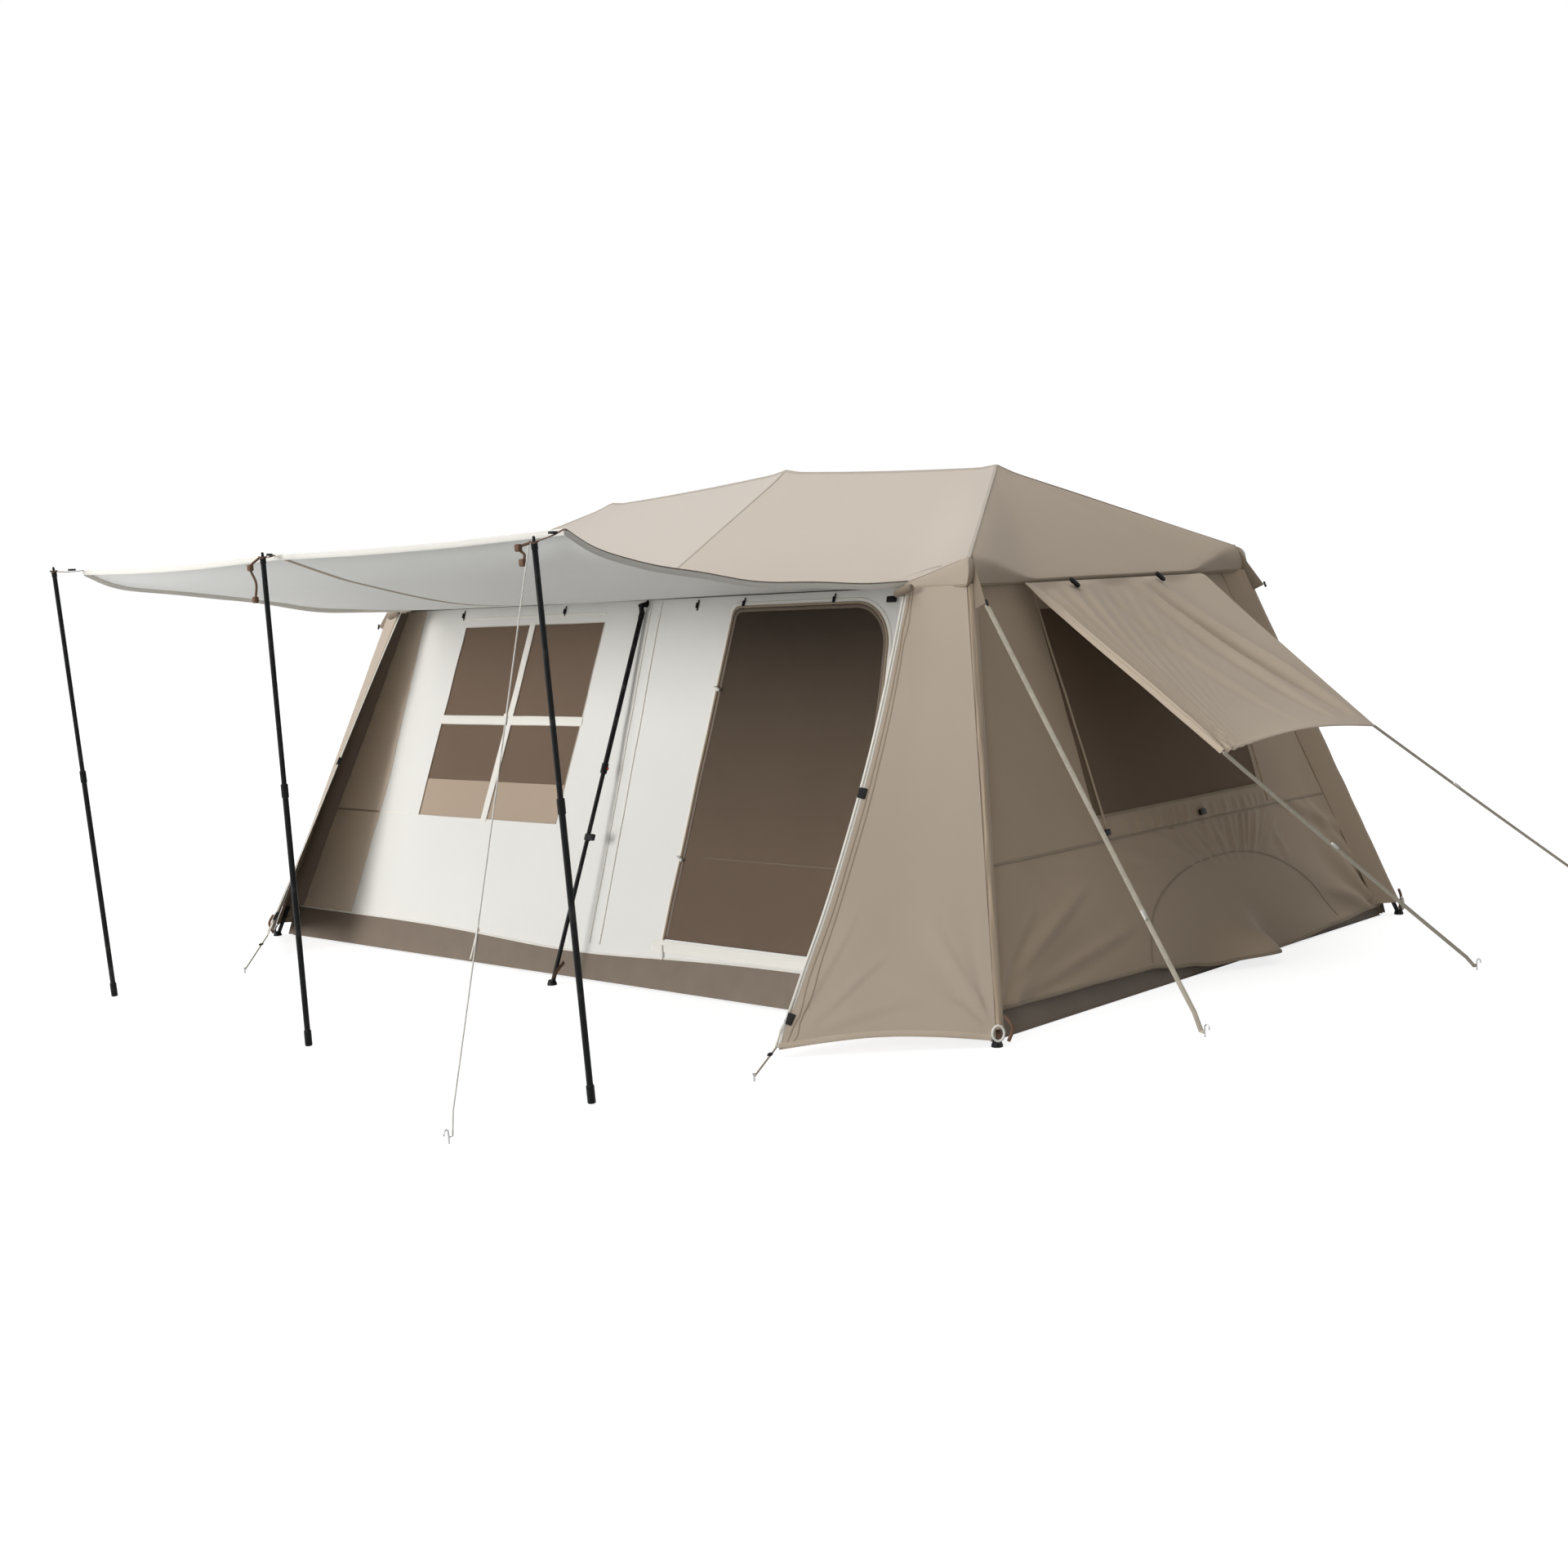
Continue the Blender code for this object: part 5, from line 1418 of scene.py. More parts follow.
def line_length(line):
    return sum((b - a).length for a, b in zip(line, line[1:]))


class TENT_OT_guys(Operator):
    """Adds the guy cords with their sliders"""
    bl_idname = "tent.guys"
    bl_label = "Guys and pegs"

    def execute(self, context):
        corner = Vector(CORNER_GUY_TOP) + Vector((0.0035, 0, -0.006))
        pole = Vector(POLE_TOPS["right"]) + Vector((0, -0.0215, -0.030))
        cords = (("corner", corner, "tent_shell", 0.74), ("pole", pole, "tent_shell", 0.30),
                 ("flap_near", self.flap_corner(0), "flap_guy_near", 0.42),
                 ("flap_far", self.flap_corner(1), "flap_guy_far", 0.30))
        for spot, top, body, slider in cords:
            route = guy_route(top, spot)
            width = GUY_WIDTHS[spot]
            flat = width > 2 * GUY_RADIUS
            section = round_section(width / 2)
            if flat:
                section = band_section(width / 2, GUY_THICKNESS / 2)
            riding = {"body": body, "slot": "guy_cord", "folds": body == "tent_shell"}
            cord = sweep(f"guy_line_{spot}", route, section, "guy_braid" if flat else "cream_tape",
                         out=(0.69, -0.72, 0.2), **riding)
            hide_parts(f"guy_{spot}")
            way = (route[-1] - route[0]).normalized()
            side = way.cross(UP).normalized()
            place = frame_at(route[0].lerp(route[-1], slider), way, side.cross(way))
            bar = pillow_box(f"guy_slider_{spot}", place, (0.018, 0.006 + width / 4, 0.004),
                             "cream_tape", **riding)
            declare_cord(route, width)
        return {"FINISHED"}

    @staticmethod
    def flap_corner(u):
        """The CAD cord's start, just outside the flap's corner."""
        way = math.radians(FLAP_OPEN)
        x = FLAP_PIN[0] + FLAP_LENGTH * math.sin(way)
        z = FLAP_PIN[1] - FLAP_LENGTH * math.cos(way)
        return Vector((x + 0.006, (2 * u - 1) * FLAP_BOTTOM_HALF, z - 0.004))


class TENT_OT_frame(Operator):
    """Finishes the folding frame, the awning poles and the pegs"""
    bl_idname = "tent.frame"
    bl_label = "Frame finishes"

    def execute(self, context):
        finishes = {"roof_arm": "coated_tube", "upper_leg": "coated_tube",
                    "lower_leg": "coated_tube", "ridge_pole": "coated_tube",
                    "ridge_hub": "black_plastic", "leg_button": "red_plastic",
                    "awning_pole": "pole_tube", "peg": "peg_metal"}
        for name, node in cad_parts.items():
            for start, material in finishes.items():
                if name.startswith(start):
                    for holder in node.material_slots:
                        holder.material = finish(material)
        return {"FINISHED"}


class TENT_OT_roof(Operator):
    """Adds the roof with its awning, hips, seams, hems and corner gussets"""
    bl_idname = "tent.roof"
    bl_label = "Roof and awning"

    def execute(self, context):
        columns = 96
        # The left half of the roof takes the lighter roof cloth: painted light from the left.
        cloth_piece("roof_and_awning", front_roof, columns, 130, (3.66, 3.02), "stretched",
                    ["roof_cloth_left", "roof_cloth"], "roof_lining", flip=True,
                    panel=lambda i: 0 if i % columns < columns // 2 else 1,
                    rests_on=["ridge_hub_middle"], stands_for="roof_front_and_awning")
        cloth_piece("roof_back_slope", back_roof, 70, 40, (3.66, 1.20), "stretched", "roof_cloth",
                    "roof_lining", flip=True, rests_on=["ridge_hub_middle"], stands_for="roof_back")
        for end, word in ENDS:
            cloth_piece(f"roof_hip_{word}_slope", hip_cloth(end), 50, 40, (1.92, 0.86), "stretched",
                        "side_cloth", "roof_lining", flip=True, rests_on=[f"ridge_hub_{word}"],
                        stands_for=f"roof_hip_{word}")
        self.seams()
        self.hems()
        self.gussets()
        return {"FINISHED"}

    @staticmethod
    def seams():
        eave = SLOPE_SHARE + 0.012
        rows = [("roof_seam_middle", front_roof, (0.5, 0.0), (0.5, SLOPE_SHARE), 24, 0.014),
                ("awning_seam_middle", front_roof, (0.5, SLOPE_SHARE), (0.5, 0.995), 40, 0.014),
                ("awning_seam_lining", front_roof, (0.5, SLOPE_SHARE), (0.5, 0.995), 40, 0.034,
                 "wall_seam", 1.0),
                ("roof_seam_ridge", front_roof, (0.0, 0.002), (1.0, 0.002), 60, 0.020),
                ("roof_seam_back", back_roof, (0.5, 0.0), (0.5, 0.84), 24, 0.014)]
        for end, word in ENDS:
            u = 0.5 + end * 0.4995
            rows += [(f"roof_seam_hip_front_{word}", front_roof, (u, 0.004), (u, SLOPE_SHARE), 30,
                      0.016),
                     (f"roof_seam_hip_back_{word}", back_roof, (1 - u, 0.004), (1 - u, 0.84), 30,
                      0.016),
                     (f"roof_seam_eave_{word}", hip_cloth(end), (0.005, 0.998), (0.995, 0.998), 50,
                      0.012, "wall_seam", -1.0, 0.0016)]
        rows.append(("roof_seam_eave_front", front_roof, (0.01, eave), (0.99, eave), 70, 0.012))
        for name, surface, start, end, count, width, *look in rows:
            seam(name, surface, run(start, end, count), width, *(look or ("roof_seam", -1.0)))

    def hems(self):
        width = sizes().hem
        down = UP * (-width * 0.42)
        start = SLOPE_SHARE + 0.030
        for u, (end, word) in enumerate(ENDS):
            line = [front_roof(u, v) + down for _, v in run((u, start), (u, 0.998), 80)]
            sweep(f"awning_hem_{word}", line, band_section(width / 2, 0.0018), "cream_hem",
                  out=(end, 0, 0))
            # Painted shadow: a dark cord under each side hem, standing in for the shadow line
            # between the hem and the wall behind.
            painted_shadow_line = [spot + Vector((-end * 0.0005, 0, width * 0.5)) for spot in line]
            sweep(f"awning_tuck_{word}", painted_shadow_line, round_section(0.0030), "skirt_cloth")
        line = [front_roof(u, 1.0) + down for u, _ in run((0, 1), (1, 1), 90)]
        sweep("awning_hem_front", line, band_section(width / 2, 0.0018), "cream_hem",
              out=(0, -1, 0))
        for end, word in ENDS:
            self.corner_valance(end, word)

    @staticmethod
    def corner_valance(end, word):
        """Fills between the awning's root and the top of the wing."""
        hip = hip_cloth(end)
        far = Vector((end * 1.605, -1.062, 1.598))

        def fill(u, v, low):
            share = SLOPE_SHARE + (1 - SLOPE_SHARE) * 0.055 * u
            top = front_roof((end + 1) / 2, share) + UP * -0.002
            return top.lerp(low.lerp(far, u), v)

        def front(u, v):
            low = hip((1 - end) / 2, 1.0)
            edge = hip((1 - end) / 2, between(HIP_SHARE, 1, v))
            spot = fill(u, v, low) + (edge - fill(0, v, low)) * (1 - u) ** 3
            return spot + Vector((end * 0.3, -1, 0)) * 0.008 * arched(v) * u

        def back(u, v):
            edge = hip((1 + end) / 2, between(HIP_SHARE, 1, v))
            return edge.lerp(back_roof((1 - end) / 2, between(BACK_SHARE, 1, v)), u)
        # The corner takes the darker wing cloth: painted shade.
        cloth_piece(f"roof_corner_{word}", front, 16, 10, (0.30, 0.10), "stretched", "wing_cloth",
                    "roof_lining", flip=end < 0, rests_on=[f"roof_arm_front_{word}"])
        cloth_piece(f"roof_back_corner_{word}", back, 6, 12, (0.05, 0.11), "stretched",
                    "side_cloth", "roof_lining", flip=end < 0, rests_on=[f"roof_arm_back_{word}"])
        seam(f"roof_corner_seam_{word}", front, run((0.0, 0.99), (1.0, 0.99), 20), 0.010,
             "wall_seam", end)

    @staticmethod
    def gussets():
        for end, word in ENDS:
            for side, side_word in SIDES:
                corner = hip_cloth(end)((side * end + 1) / 2, HIP_SHARE)
                root = corner + mirrored(GUSSET_ROOT, end, side)
                tip = mirrored(CORNER_GUY_TOP, end, -side)
                low = corner + mirrored(GUSSET_LOW, end, side)

                def gusset(a, b, root=root, tip=tip, low=low):
                    spot = root.lerp(low, a).lerp(tip, b * 0.985)
                    return spot - UP * (0.006 * arched(a) * arched(b))
                name = f"gusset_{side_word}_{word}"
                cloth_piece(name, gusset, 8, 12, (0.09, 0.23), "stretched", "gusset_cloth",
                            rests_on=[f"roof_arm_{side_word}_{word}"])
                toggle(f"{name}_toggle", tip, (end, 0, 0.3), (end * 0.4, 0, -1), size=0.8)


class TENT_OT_wings(Operator):
    """Adds the side wings of the awning with their hems and tabs"""
    bl_idname = "tent.wings"
    bl_label = "Side wings"

    def execute(self, context):
        for end, word in ENDS:
            surface = wing_cloth(end)
            cloth_piece(f"wing_cloth_{word}", surface, 60, 110, (0.72, 1.80), "stretched",
                        "wing_cloth", flip=end < 0, rests_on=[f"upper_leg_front_{word}"],
                        stands_for=f"wing_{word}")
            edge_hem(f"wing_hem_{word}", surface, run((1.0, 0.0), (1.0, 1.0), 60), 0.018,
                     "cream_hem", end)
            for name, top, foot in (("outer", 0.925, 0.958), ("inner", 0.88, 0.932)):
                seam(f"wing_hem_{name}_{word}", surface, run((top, 0.0), (foot, 1.0), 50), 0.006,
                     "wall_seam", end)
            edge_hem(f"wing_hem_low_{word}", surface, run((0.02, 1.0), (0.99, 1.0), 40),
                     sizes().hem, "side_hem", end)
            for number, v in enumerate((0.47, 0.945)):
                out = surface_out(surface, [(0.98, v)], end)[0]
                along = surface(1.0, min(1, v + 0.02)) - surface(1.0, v - 0.02)
                pillow_box(f"wing_tab_{word}_{number}", frame_at(surface(0.985, v), along, out),
                           (0.021, 0.015, 0.007), "black_plastic", slot="hub_plastic")
            # Painted shade: the knot is a large toggle in the darkened gusset cloth, for the shade
            # round it.
            knot = surface(1.0, 0.0) + Vector((0, -0.02, -0.01))
            toggle(f"wing_knot_{word}", knot, (end, -1, 0), (1, 0, 0.3), "gusset_cloth", 2.7,
                   slot="guy_cord")
            self.edge_cord(word, [surface(1.0, i / 40) for i in range(41)])
        return {"FINISHED"}

    @staticmethod
    def edge_cord(word, edge):
        """The cord sewn into the free edge, which goes on from its foot to a stake."""
        tip = edge[-1]
        stake = Vector((*WING_STAKES[word], 0.0))
        plan = (stake - Vector((tip.x, tip.y, 0))).normalized()
        profile = [(0, 0.0), (0.0035, 0.0), (0.0035, 0.020), (0.006, 0.022), (0.006, 0.026),
                   (0, 0.028)]
        pin = turned(f"wing_stake_{word}", profile, Matrix.Translation(stake), "peg_metal", 12,
                     slot="peg_steel", folds=False)
        end = stake + UP * 0.016 - plan * 0.006
        route = edge + [tip.lerp(end, i / 10) for i in range(1, 11)]
        cord = sweep(f"wing_tie_{word}", route, round_section(0.0035), "guy_braid",
                     slot="guy_cord")
        grip = clip(f"wing_tie_grip_{word}", route[43], UP, plan, 0.7)
        declare_cord(route, 0.007)


class TENT_OT_front_wall(Operator):
    """Adds the cream front wall, its window, trim and skirt"""
    bl_idname = "tent.front_wall"
    bl_label = "Front wall and window"

    def execute(self, context):
        wall = WALLS["front"]
        openings = [(wall.place, on_plane(wall, pane)) for pane in pane_corners()]
        openings.append((wall.place, on_plane(wall, door_outline(0.0))))
        cloth_piece("front_wall_cloth", long_wall_cloth(wall), 110, 50, (4.48, 1.68), "hung",
                    "cream_cloth", slot="wall_cream", openings=openings,
                    rests_on=["roof_arm_front_middle"], share=0.80, stands_for="front_wall")
        self.window(wall)
        self.trim(wall)
        self.skirt(wall)
        return {"FINISHED"}

    @staticmethod
    def window(wall):
        low, high = WINDOW_Z

        def net(u, v):
            z = between(low - NET_SPARE, high + NET_SPARE, v)
            share = window_share(z)
            x = between(between(*WINDOW_LEFT_X, share) - NET_SPARE,
                        between(*WINDOW_RIGHT_X, share) + NET_SPARE, u)
            return wall.at(x, z, -NET_INSET)
        cells = 44
        split = round(cells * share_of(WINDOW_LIGHT_Z, low - NET_SPARE, high + NET_SPARE))
        cloth_piece("front_window_net", net, cells, cells, (1.06, 0.97), "stretched",
                    ["window_net", "net_backed"], thickness=sizes().net, slot="mesh_brown",
                    panel=lambda i: 1 if i // cells < split else 0, stands_for="front_window")
        share = window_share(WINDOW_BAR_Z)
        left, right = between(*WINDOW_LEFT_X, share), between(*WINDOW_RIGHT_X, share)
        for word, ends, lift in (
                ("upright", [(WINDOW_BAR_X[0], low - 0.01), (WINDOW_BAR_X[1], high + 0.01)],
                 0.0015),
                ("level", [(left - 0.01, WINDOW_BAR_Z), (right + 0.01, WINDOW_BAR_Z)], 0.0022)):
            wall_band(f"window_bar_{word}", wall, ends, sizes().window_bar, "cream_hem", lift,
                      0.0012, 24, slot="wall_cream")
        for number, pane in enumerate(pane_corners()):
            wall_piping(f"window_binding_{number}", wall, pane + pane[:1], 0.0022, "roof_seam",
                        0.0005, 12)

    @staticmethod
    def side_panels(wall):
        """Khaki cloth at both ends of the cream wall, lighter than the side cloth as painted light,
        and a dark strip by each leg as painted shade.
        """
        for end, word in ENDS:
            def surface(u, v, end=end):
                z = between(WALL_BASE_Z + 0.01, WALL_TOP_Z - 0.004, v)
                half = SIDE_PANEL_EDGE[:2] if z < SIDE_PANEL_EDGE[1][0] else SIDE_PANEL_EDGE[1:]
                (z0, x0), (z1, x1) = half
                inner = between(x0, x1, share_of(z, z0, z1))
                return wall.at(end * between(inner, long_wall_half(z) + 0.003, u), z, 0.0016)

            # Painted shade: a strip of dark skirt cloth from the wall's edge round to the leg,
            # standing in for the shade in the groove behind the wing.
            def painted_shade_strip(u, v, end=end):
                z = between(1.59, 0.15, v)
                inner = wall.at(end * (long_wall_half(z) - 0.018), z, 0.003)
                outer = leg_point(end, -1, z) + Vector((end * 0.016, -0.025, 0))
                bow = 0.014 * arched(u)
                return inner.lerp(outer, u) + Vector((-end * 0.6, -0.8, 0)) * bow
            common = {"flip": end < 0, "rests_on": [f"upper_leg_front_{word}"]}
            cloth_piece(f"front_pocket_{word}", painted_shade_strip, 8, 60, (0.13, 1.60), "stretched",
                        "skirt_cloth", slot="ground_brown", **common)
            cloth_piece(f"front_side_panel_{word}", surface, 12, 50, (0.46, 1.66), "stretched",
                        "panel_cloth", **common)

    def trim(self, wall):
        self.side_panels(wall)
        cream = {"slot": "wall_cream"}
        for x in (0.035, 0.10):
            wall_piping(f"front_piping_{int(x * 1000)}", wall, [(x, 0.15), (x, 1.59)],
                        sizes().piping, "cream_hem", 0.002, 30, **cream)
        wall_band("front_seam_low", wall, [(-1.68, 0.63), (-1.43, 0.63)], 0.010, "cream_hem",
                  0.001, 0.0008, 16, **cream)
        for end, word in ENDS:
            wall_band(f"front_seam_side_{word}", wall, [(end * 2.04, 0.63), (end * 1.69, 0.63)],
                      0.010, "wall_seam", 0.003, 0.0008, 12)
        wall_band("front_seam_head", wall, [(-1.30, 1.55), (-0.26, 1.55)], 0.012, "cream_hem",
                  0.001, 0.0010, 24, **cream)
        wall_band("door_sill", wall, [(0.42, 0.174), (1.62, 0.174)], 0.046, "cream_hem", 0.0025,
                  0.0016, 30, **cream)
        wall_piping("door_frame_piping", wall, door_ring(-0.004), 0.0055, "wall_seam", 0.002, 8)
        wall_band("door_frame_tape", wall, door_ring(-0.016), 0.018, "cream_hem", 0.001, 0.0010, 8,
                  **cream)
        for number, x in enumerate((-1.31, -0.55, 0.33, 0.61, 1.12)):
            toggle(f"front_toggle_{number}", wall.at(x, 1.565, 0.004), wall.normal, wall.up,
                   size=0.75)
            wall_band(f"front_toggle_loop_{number}", wall, [(x, 1.59), (x, 1.545)], 0.008,
                      "black_tape", 0.002, 0.0008, 4, slot="hub_plastic")

    @staticmethod
    def skirt(wall):
        height = sizes().skirt

        def head(x):
            return height - 0.034 * hump(x + 0.07, 0.7)
        skirt_cloth(wall, head, 0.010, 4.0)
        edge = [(x, head(x)) for x in (between(-2.2, 2.2, i / 36) for i in range(37))]
        wall_piping("front_skirt_piping", wall, edge, 0.0042, "cream_hem", 0.004, 3,
                    slot="wall_cream")
        for number, (x, top, foot) in enumerate(((-0.74, 0.150, 0.012), (0.487, 0.178, 0.122))):
            line = [wall.at(x + 0.003 * i, between(top, foot, i / 6), 0.008) for i in range(7)]
            line = [spot + wall.normal * 0.022 * max(0, 1 - spot.z / height) for spot in line]
            sweep(f"skirt_loop_{number}", line, band_section(0.005, 0.0014), "cream_tape",
                  out=wall.normal, slot="wall_cream")


class TENT_OT_door(Operator):
    """Adds the net door with its binding and toggles"""
    bl_idname = "tent.door"
    bl_label = "Door"

    def execute(self, context):
        wall = WALLS["front"]
        gap = 0.002         # between the net and the wall's opening
        low, high = DOOR_Z[0] + gap, DOOR_Z[1] - gap

        def corner_cut(radius, down):
            """How far a rounded corner's edge lies from the side's line, that far down."""
            return radius - math.sqrt(max(0.0, radius ** 2 - (radius - down) ** 2))

        def sides(z):
            share = share_of(z, *DOOR_Z)
            left = between(*DOOR_LEFT_X, share) + gap
            right = between(*DOOR_RIGHT_X, share) - gap
            if high - z < DOOR_CORNER_RADIUS:
                right = DOOR_RIGHT_X[1] - gap - corner_cut(DOOR_CORNER_RADIUS, high - z)
            if high - z < DOOR_SMALL_RADIUS:
                left = DOOR_LEFT_X[1] + gap + corner_cut(DOOR_SMALL_RADIUS, high - z)
            return left, right

        def surface(u, v):
            z = between(low, high, between(v, 1 - (1 - v) ** 2, v ** 3))
            left, right = sides(min(z, high - 1e-5))
            x = between(left, right, u)
            soft = 0.006 * waves((x, z * 0.6, 8.0), 0.3) * arched(u)
            return wall.at(x, z, soft * arched(v) - CLOTH_INSET)
        cloth_piece("door_net", surface, 40, 70, (1.03, 1.40), "hung", "door_net",
                    thickness=sizes().net, body="door", slot="mesh_brown", stands_for="door_panel")
        wall_band("door_binding", wall, door_ring(0.010), 0.014, "skirt_cloth", 0.0004, 0.0012, 10,
                  body="door", slot="mesh_brown")
        for number, (x, z) in enumerate(((0.548, 1.215), (0.506, 0.525))):
            toggle(f"door_toggle_{number}", wall.at(x, z, 0.004), wall.normal,
                   wall.across - wall.up * 0.5, "cream_tape", 1.2, slot="wall_cream")
        clip("wall_clip_corner", wall.at(1.43, 1.555, 0.004), wall.normal, wall.across, 1.1)
        return {"FINISHED"}


class TENT_OT_end_walls(Operator):
    """Adds the end walls with their windows, gathers, arched panels and skirts"""
    bl_idname = "tent.end_walls"
    bl_label = "End walls"

    def execute(self, context):
        low, high = END_WINDOW_Z
        for end, word in ENDS:
            wall = WALLS[word]
            left, right = sorted(end * y for y in END_WINDOW_Y)
            hole = [(left, low), (right, low), (right, high), (left, high)]

            def surface(u, v, wall=wall, end=end):
                across = 2 * u - 1
                z = between(hem_height(across * END_WALL_HALF[0] * end), WALL_TOP_Z, v)
                return wall.at(across * between(*END_WALL_HALF, wall_share(z)), z, -CLOTH_INSET)

            def net(u, v, wall=wall, left=left, right=right):
                return wall.at(between(left - NET_SPARE, right + NET_SPARE, u),
                               between(low - NET_SPARE, high + NET_SPARE, v), -NET_INSET)
            cloth_piece(f"end_wall_cloth_{word}", surface, 210, 120, (2.92, 1.62), "hung",
                        "wall_cloth", openings=[(wall.place, on_plane(wall, hole))], share=0.80,
                        rests_on=[f"roof_arm_front_{word}"], stands_for=f"end_wall_{word}")
            cloth_piece(f"end_window_net_{word}", net, 120, 60, (1.27, 0.88), "stretched",
                        "end_net", thickness=sizes().net, slot="mesh_brown",
                        stands_for=f"end_window_{word}")
            self.gathers(end, word, wall)
            self.trim(end, word, wall)
            self.skirt(end, word, wall)
        return {"FINISHED"}

    @staticmethod
    def gathers(end, word, wall):
        """A finer sheet that rises out of the wall where its cloth is gathered at the seam."""
        def surface(u, v):
            y, z = between(-0.52, 0.84, u), between(0.30, GATHER_TOP_Z, v)
            if z > LEVEL_SEAM_Z + 0.002:
                near = within(z, LEVEL_SEAM_Z + 0.002, GATHER_TOP_Z, 0.012, 0.05)
                turn = 96 * y + 3.0 * math.sin(9 * y) + 4 * z
            else:
                near = within(z, 0.36, LEVEL_SEAM_Z, 0.14, 0.015)
                turn = 40 * math.atan2(y - FAN_CENTRE[0], z - 0.24) + 1.5 * math.sin(11 * y)
            near *= within(y, GATHER_Y[0], 0.82, 0.12, 0.15)
            near *= 0.65 + 0.35 * waves((y, 0.0, end), 0.08)
            rise = sizes().pleat * 1.6 * near * (0.5 + 0.5 * math.sin(turn)) ** 1.5
            return wall.at(y * end, z, rise - 0.0020)
        cloth_piece(f"end_gathers_{word}", surface, 230, 46, (1.40, 0.40), "stretched",
                    "wall_cloth", flip=end < 0)

    @staticmethod
    def trim(end, word, wall):
        for side, top, foot in (("near", (-0.532, 1.585), (-0.473, 0.588)),
                                ("far", (0.71, 1.585), (0.74, 0.60))):
            wall_piping(f"end_piping_{side}_{word}", wall,
                        [(top[0] * end, top[1]), (foot[0] * end, foot[1])], 0.0045, "wall_hem",
                        0.002, 60)
        arch = [(p.x, p.y) for p in curve_through([(y, z, 0) for y, z in ARCH_SEAM], 8)]
        for name, path, width, steps in (
                ("seam", [(-1.27, LEVEL_SEAM_Z), (1.27, LEVEL_SEAM_Z)], 0.010, 140),
                ("window_sill", [(y, 0.675) for y in END_WINDOW_Y], 0.012, 120),
                ("arch_seam", arch, 0.009, 2)):
            wall_band(f"end_{name}_{word}", wall, [(y * end, z) for y, z in path], width,
                      "wall_seam", 0.001, 0.0009, steps)
        for number, y in enumerate((-0.493, 0.20)):
            clip(f"end_tab_{word}_{number}", wall.at(y * end, 0.612, 0.003), wall.normal,
                 wall.across, 1.1)
        ys = [between(-1.44, 1.44, i / 160) for i in range(161)]
        hem = [wall.at(y * end, hem_height(y) + 0.003, 0.001) for y in ys]
        sweep(f"end_hem_{word}", hem, band_section(0.007, 0.0018), "wall_seam", out=wall.normal)

    @staticmethod
    def skirt(end, word, wall):
        def surface(u, v):
            x = between(-END_WALL_HALF[0], END_WALL_HALF[0], u)
            wave = 0.004 * waves((x, 0.3, 6.0 * end), 0.2) * (1 - v)
            spot = wall.base + wall.across * x + wall.up * wall.rise(between(0.003, 0.13, v))
            return spot + wall.normal * (wave - 0.022)
        cloth_piece(f"end_skirt_{word}", surface, 80, 8, (2.92, 0.14), "hung", "skirt_cloth",
                    slot="ground_brown")


class TENT_OT_flaps(Operator):
    """Adds the end window flaps, one held out by its guys and one let down"""
    bl_idname = "tent.flaps"
    bl_label = "Window flaps"

    def execute(self, context):
        for end, word, angle in ((-1, "left", FLAP_CLOSED), (1, "right", FLAP_OPEN)):
            surface = flap_cloth(end, angle)
            riding = {"body": f"{word}_flap"}
            cloth_piece(f"window_flap_{word}_cloth", surface, 90, 70, (1.24, 1.05), "hung",
                        "side_cloth", flip=end > 0, rests_on=[f"end_wall_{word}"],
                        stands_for=f"window_flap_{word}", **riding)
            for side, start, foot, count in (("near", (0.0, 0.0), (0.0, 1.0), 50),
                                             ("far", (1.0, 0.0), (1.0, 1.0), 50),
                                             ("low", (0.0, 1.0), (1.0, 1.0), 60)):
                edge_hem(f"flap_hem_{side}_{word}", surface, run(start, foot, count),
                         sizes().hem, "side_hem", -end, **riding)
            for number, u in enumerate((0.21, 0.70)):
                out = surface_out(surface, [(u, 0.035)], -end)[0]
                toggle(f"flap_toggle_{word}_{number}", surface(u, 0.035) + out * 0.006, out,
                       (0.2, 0.8, -0.6), size=1.7, **riding)
        return {"FINISHED"}


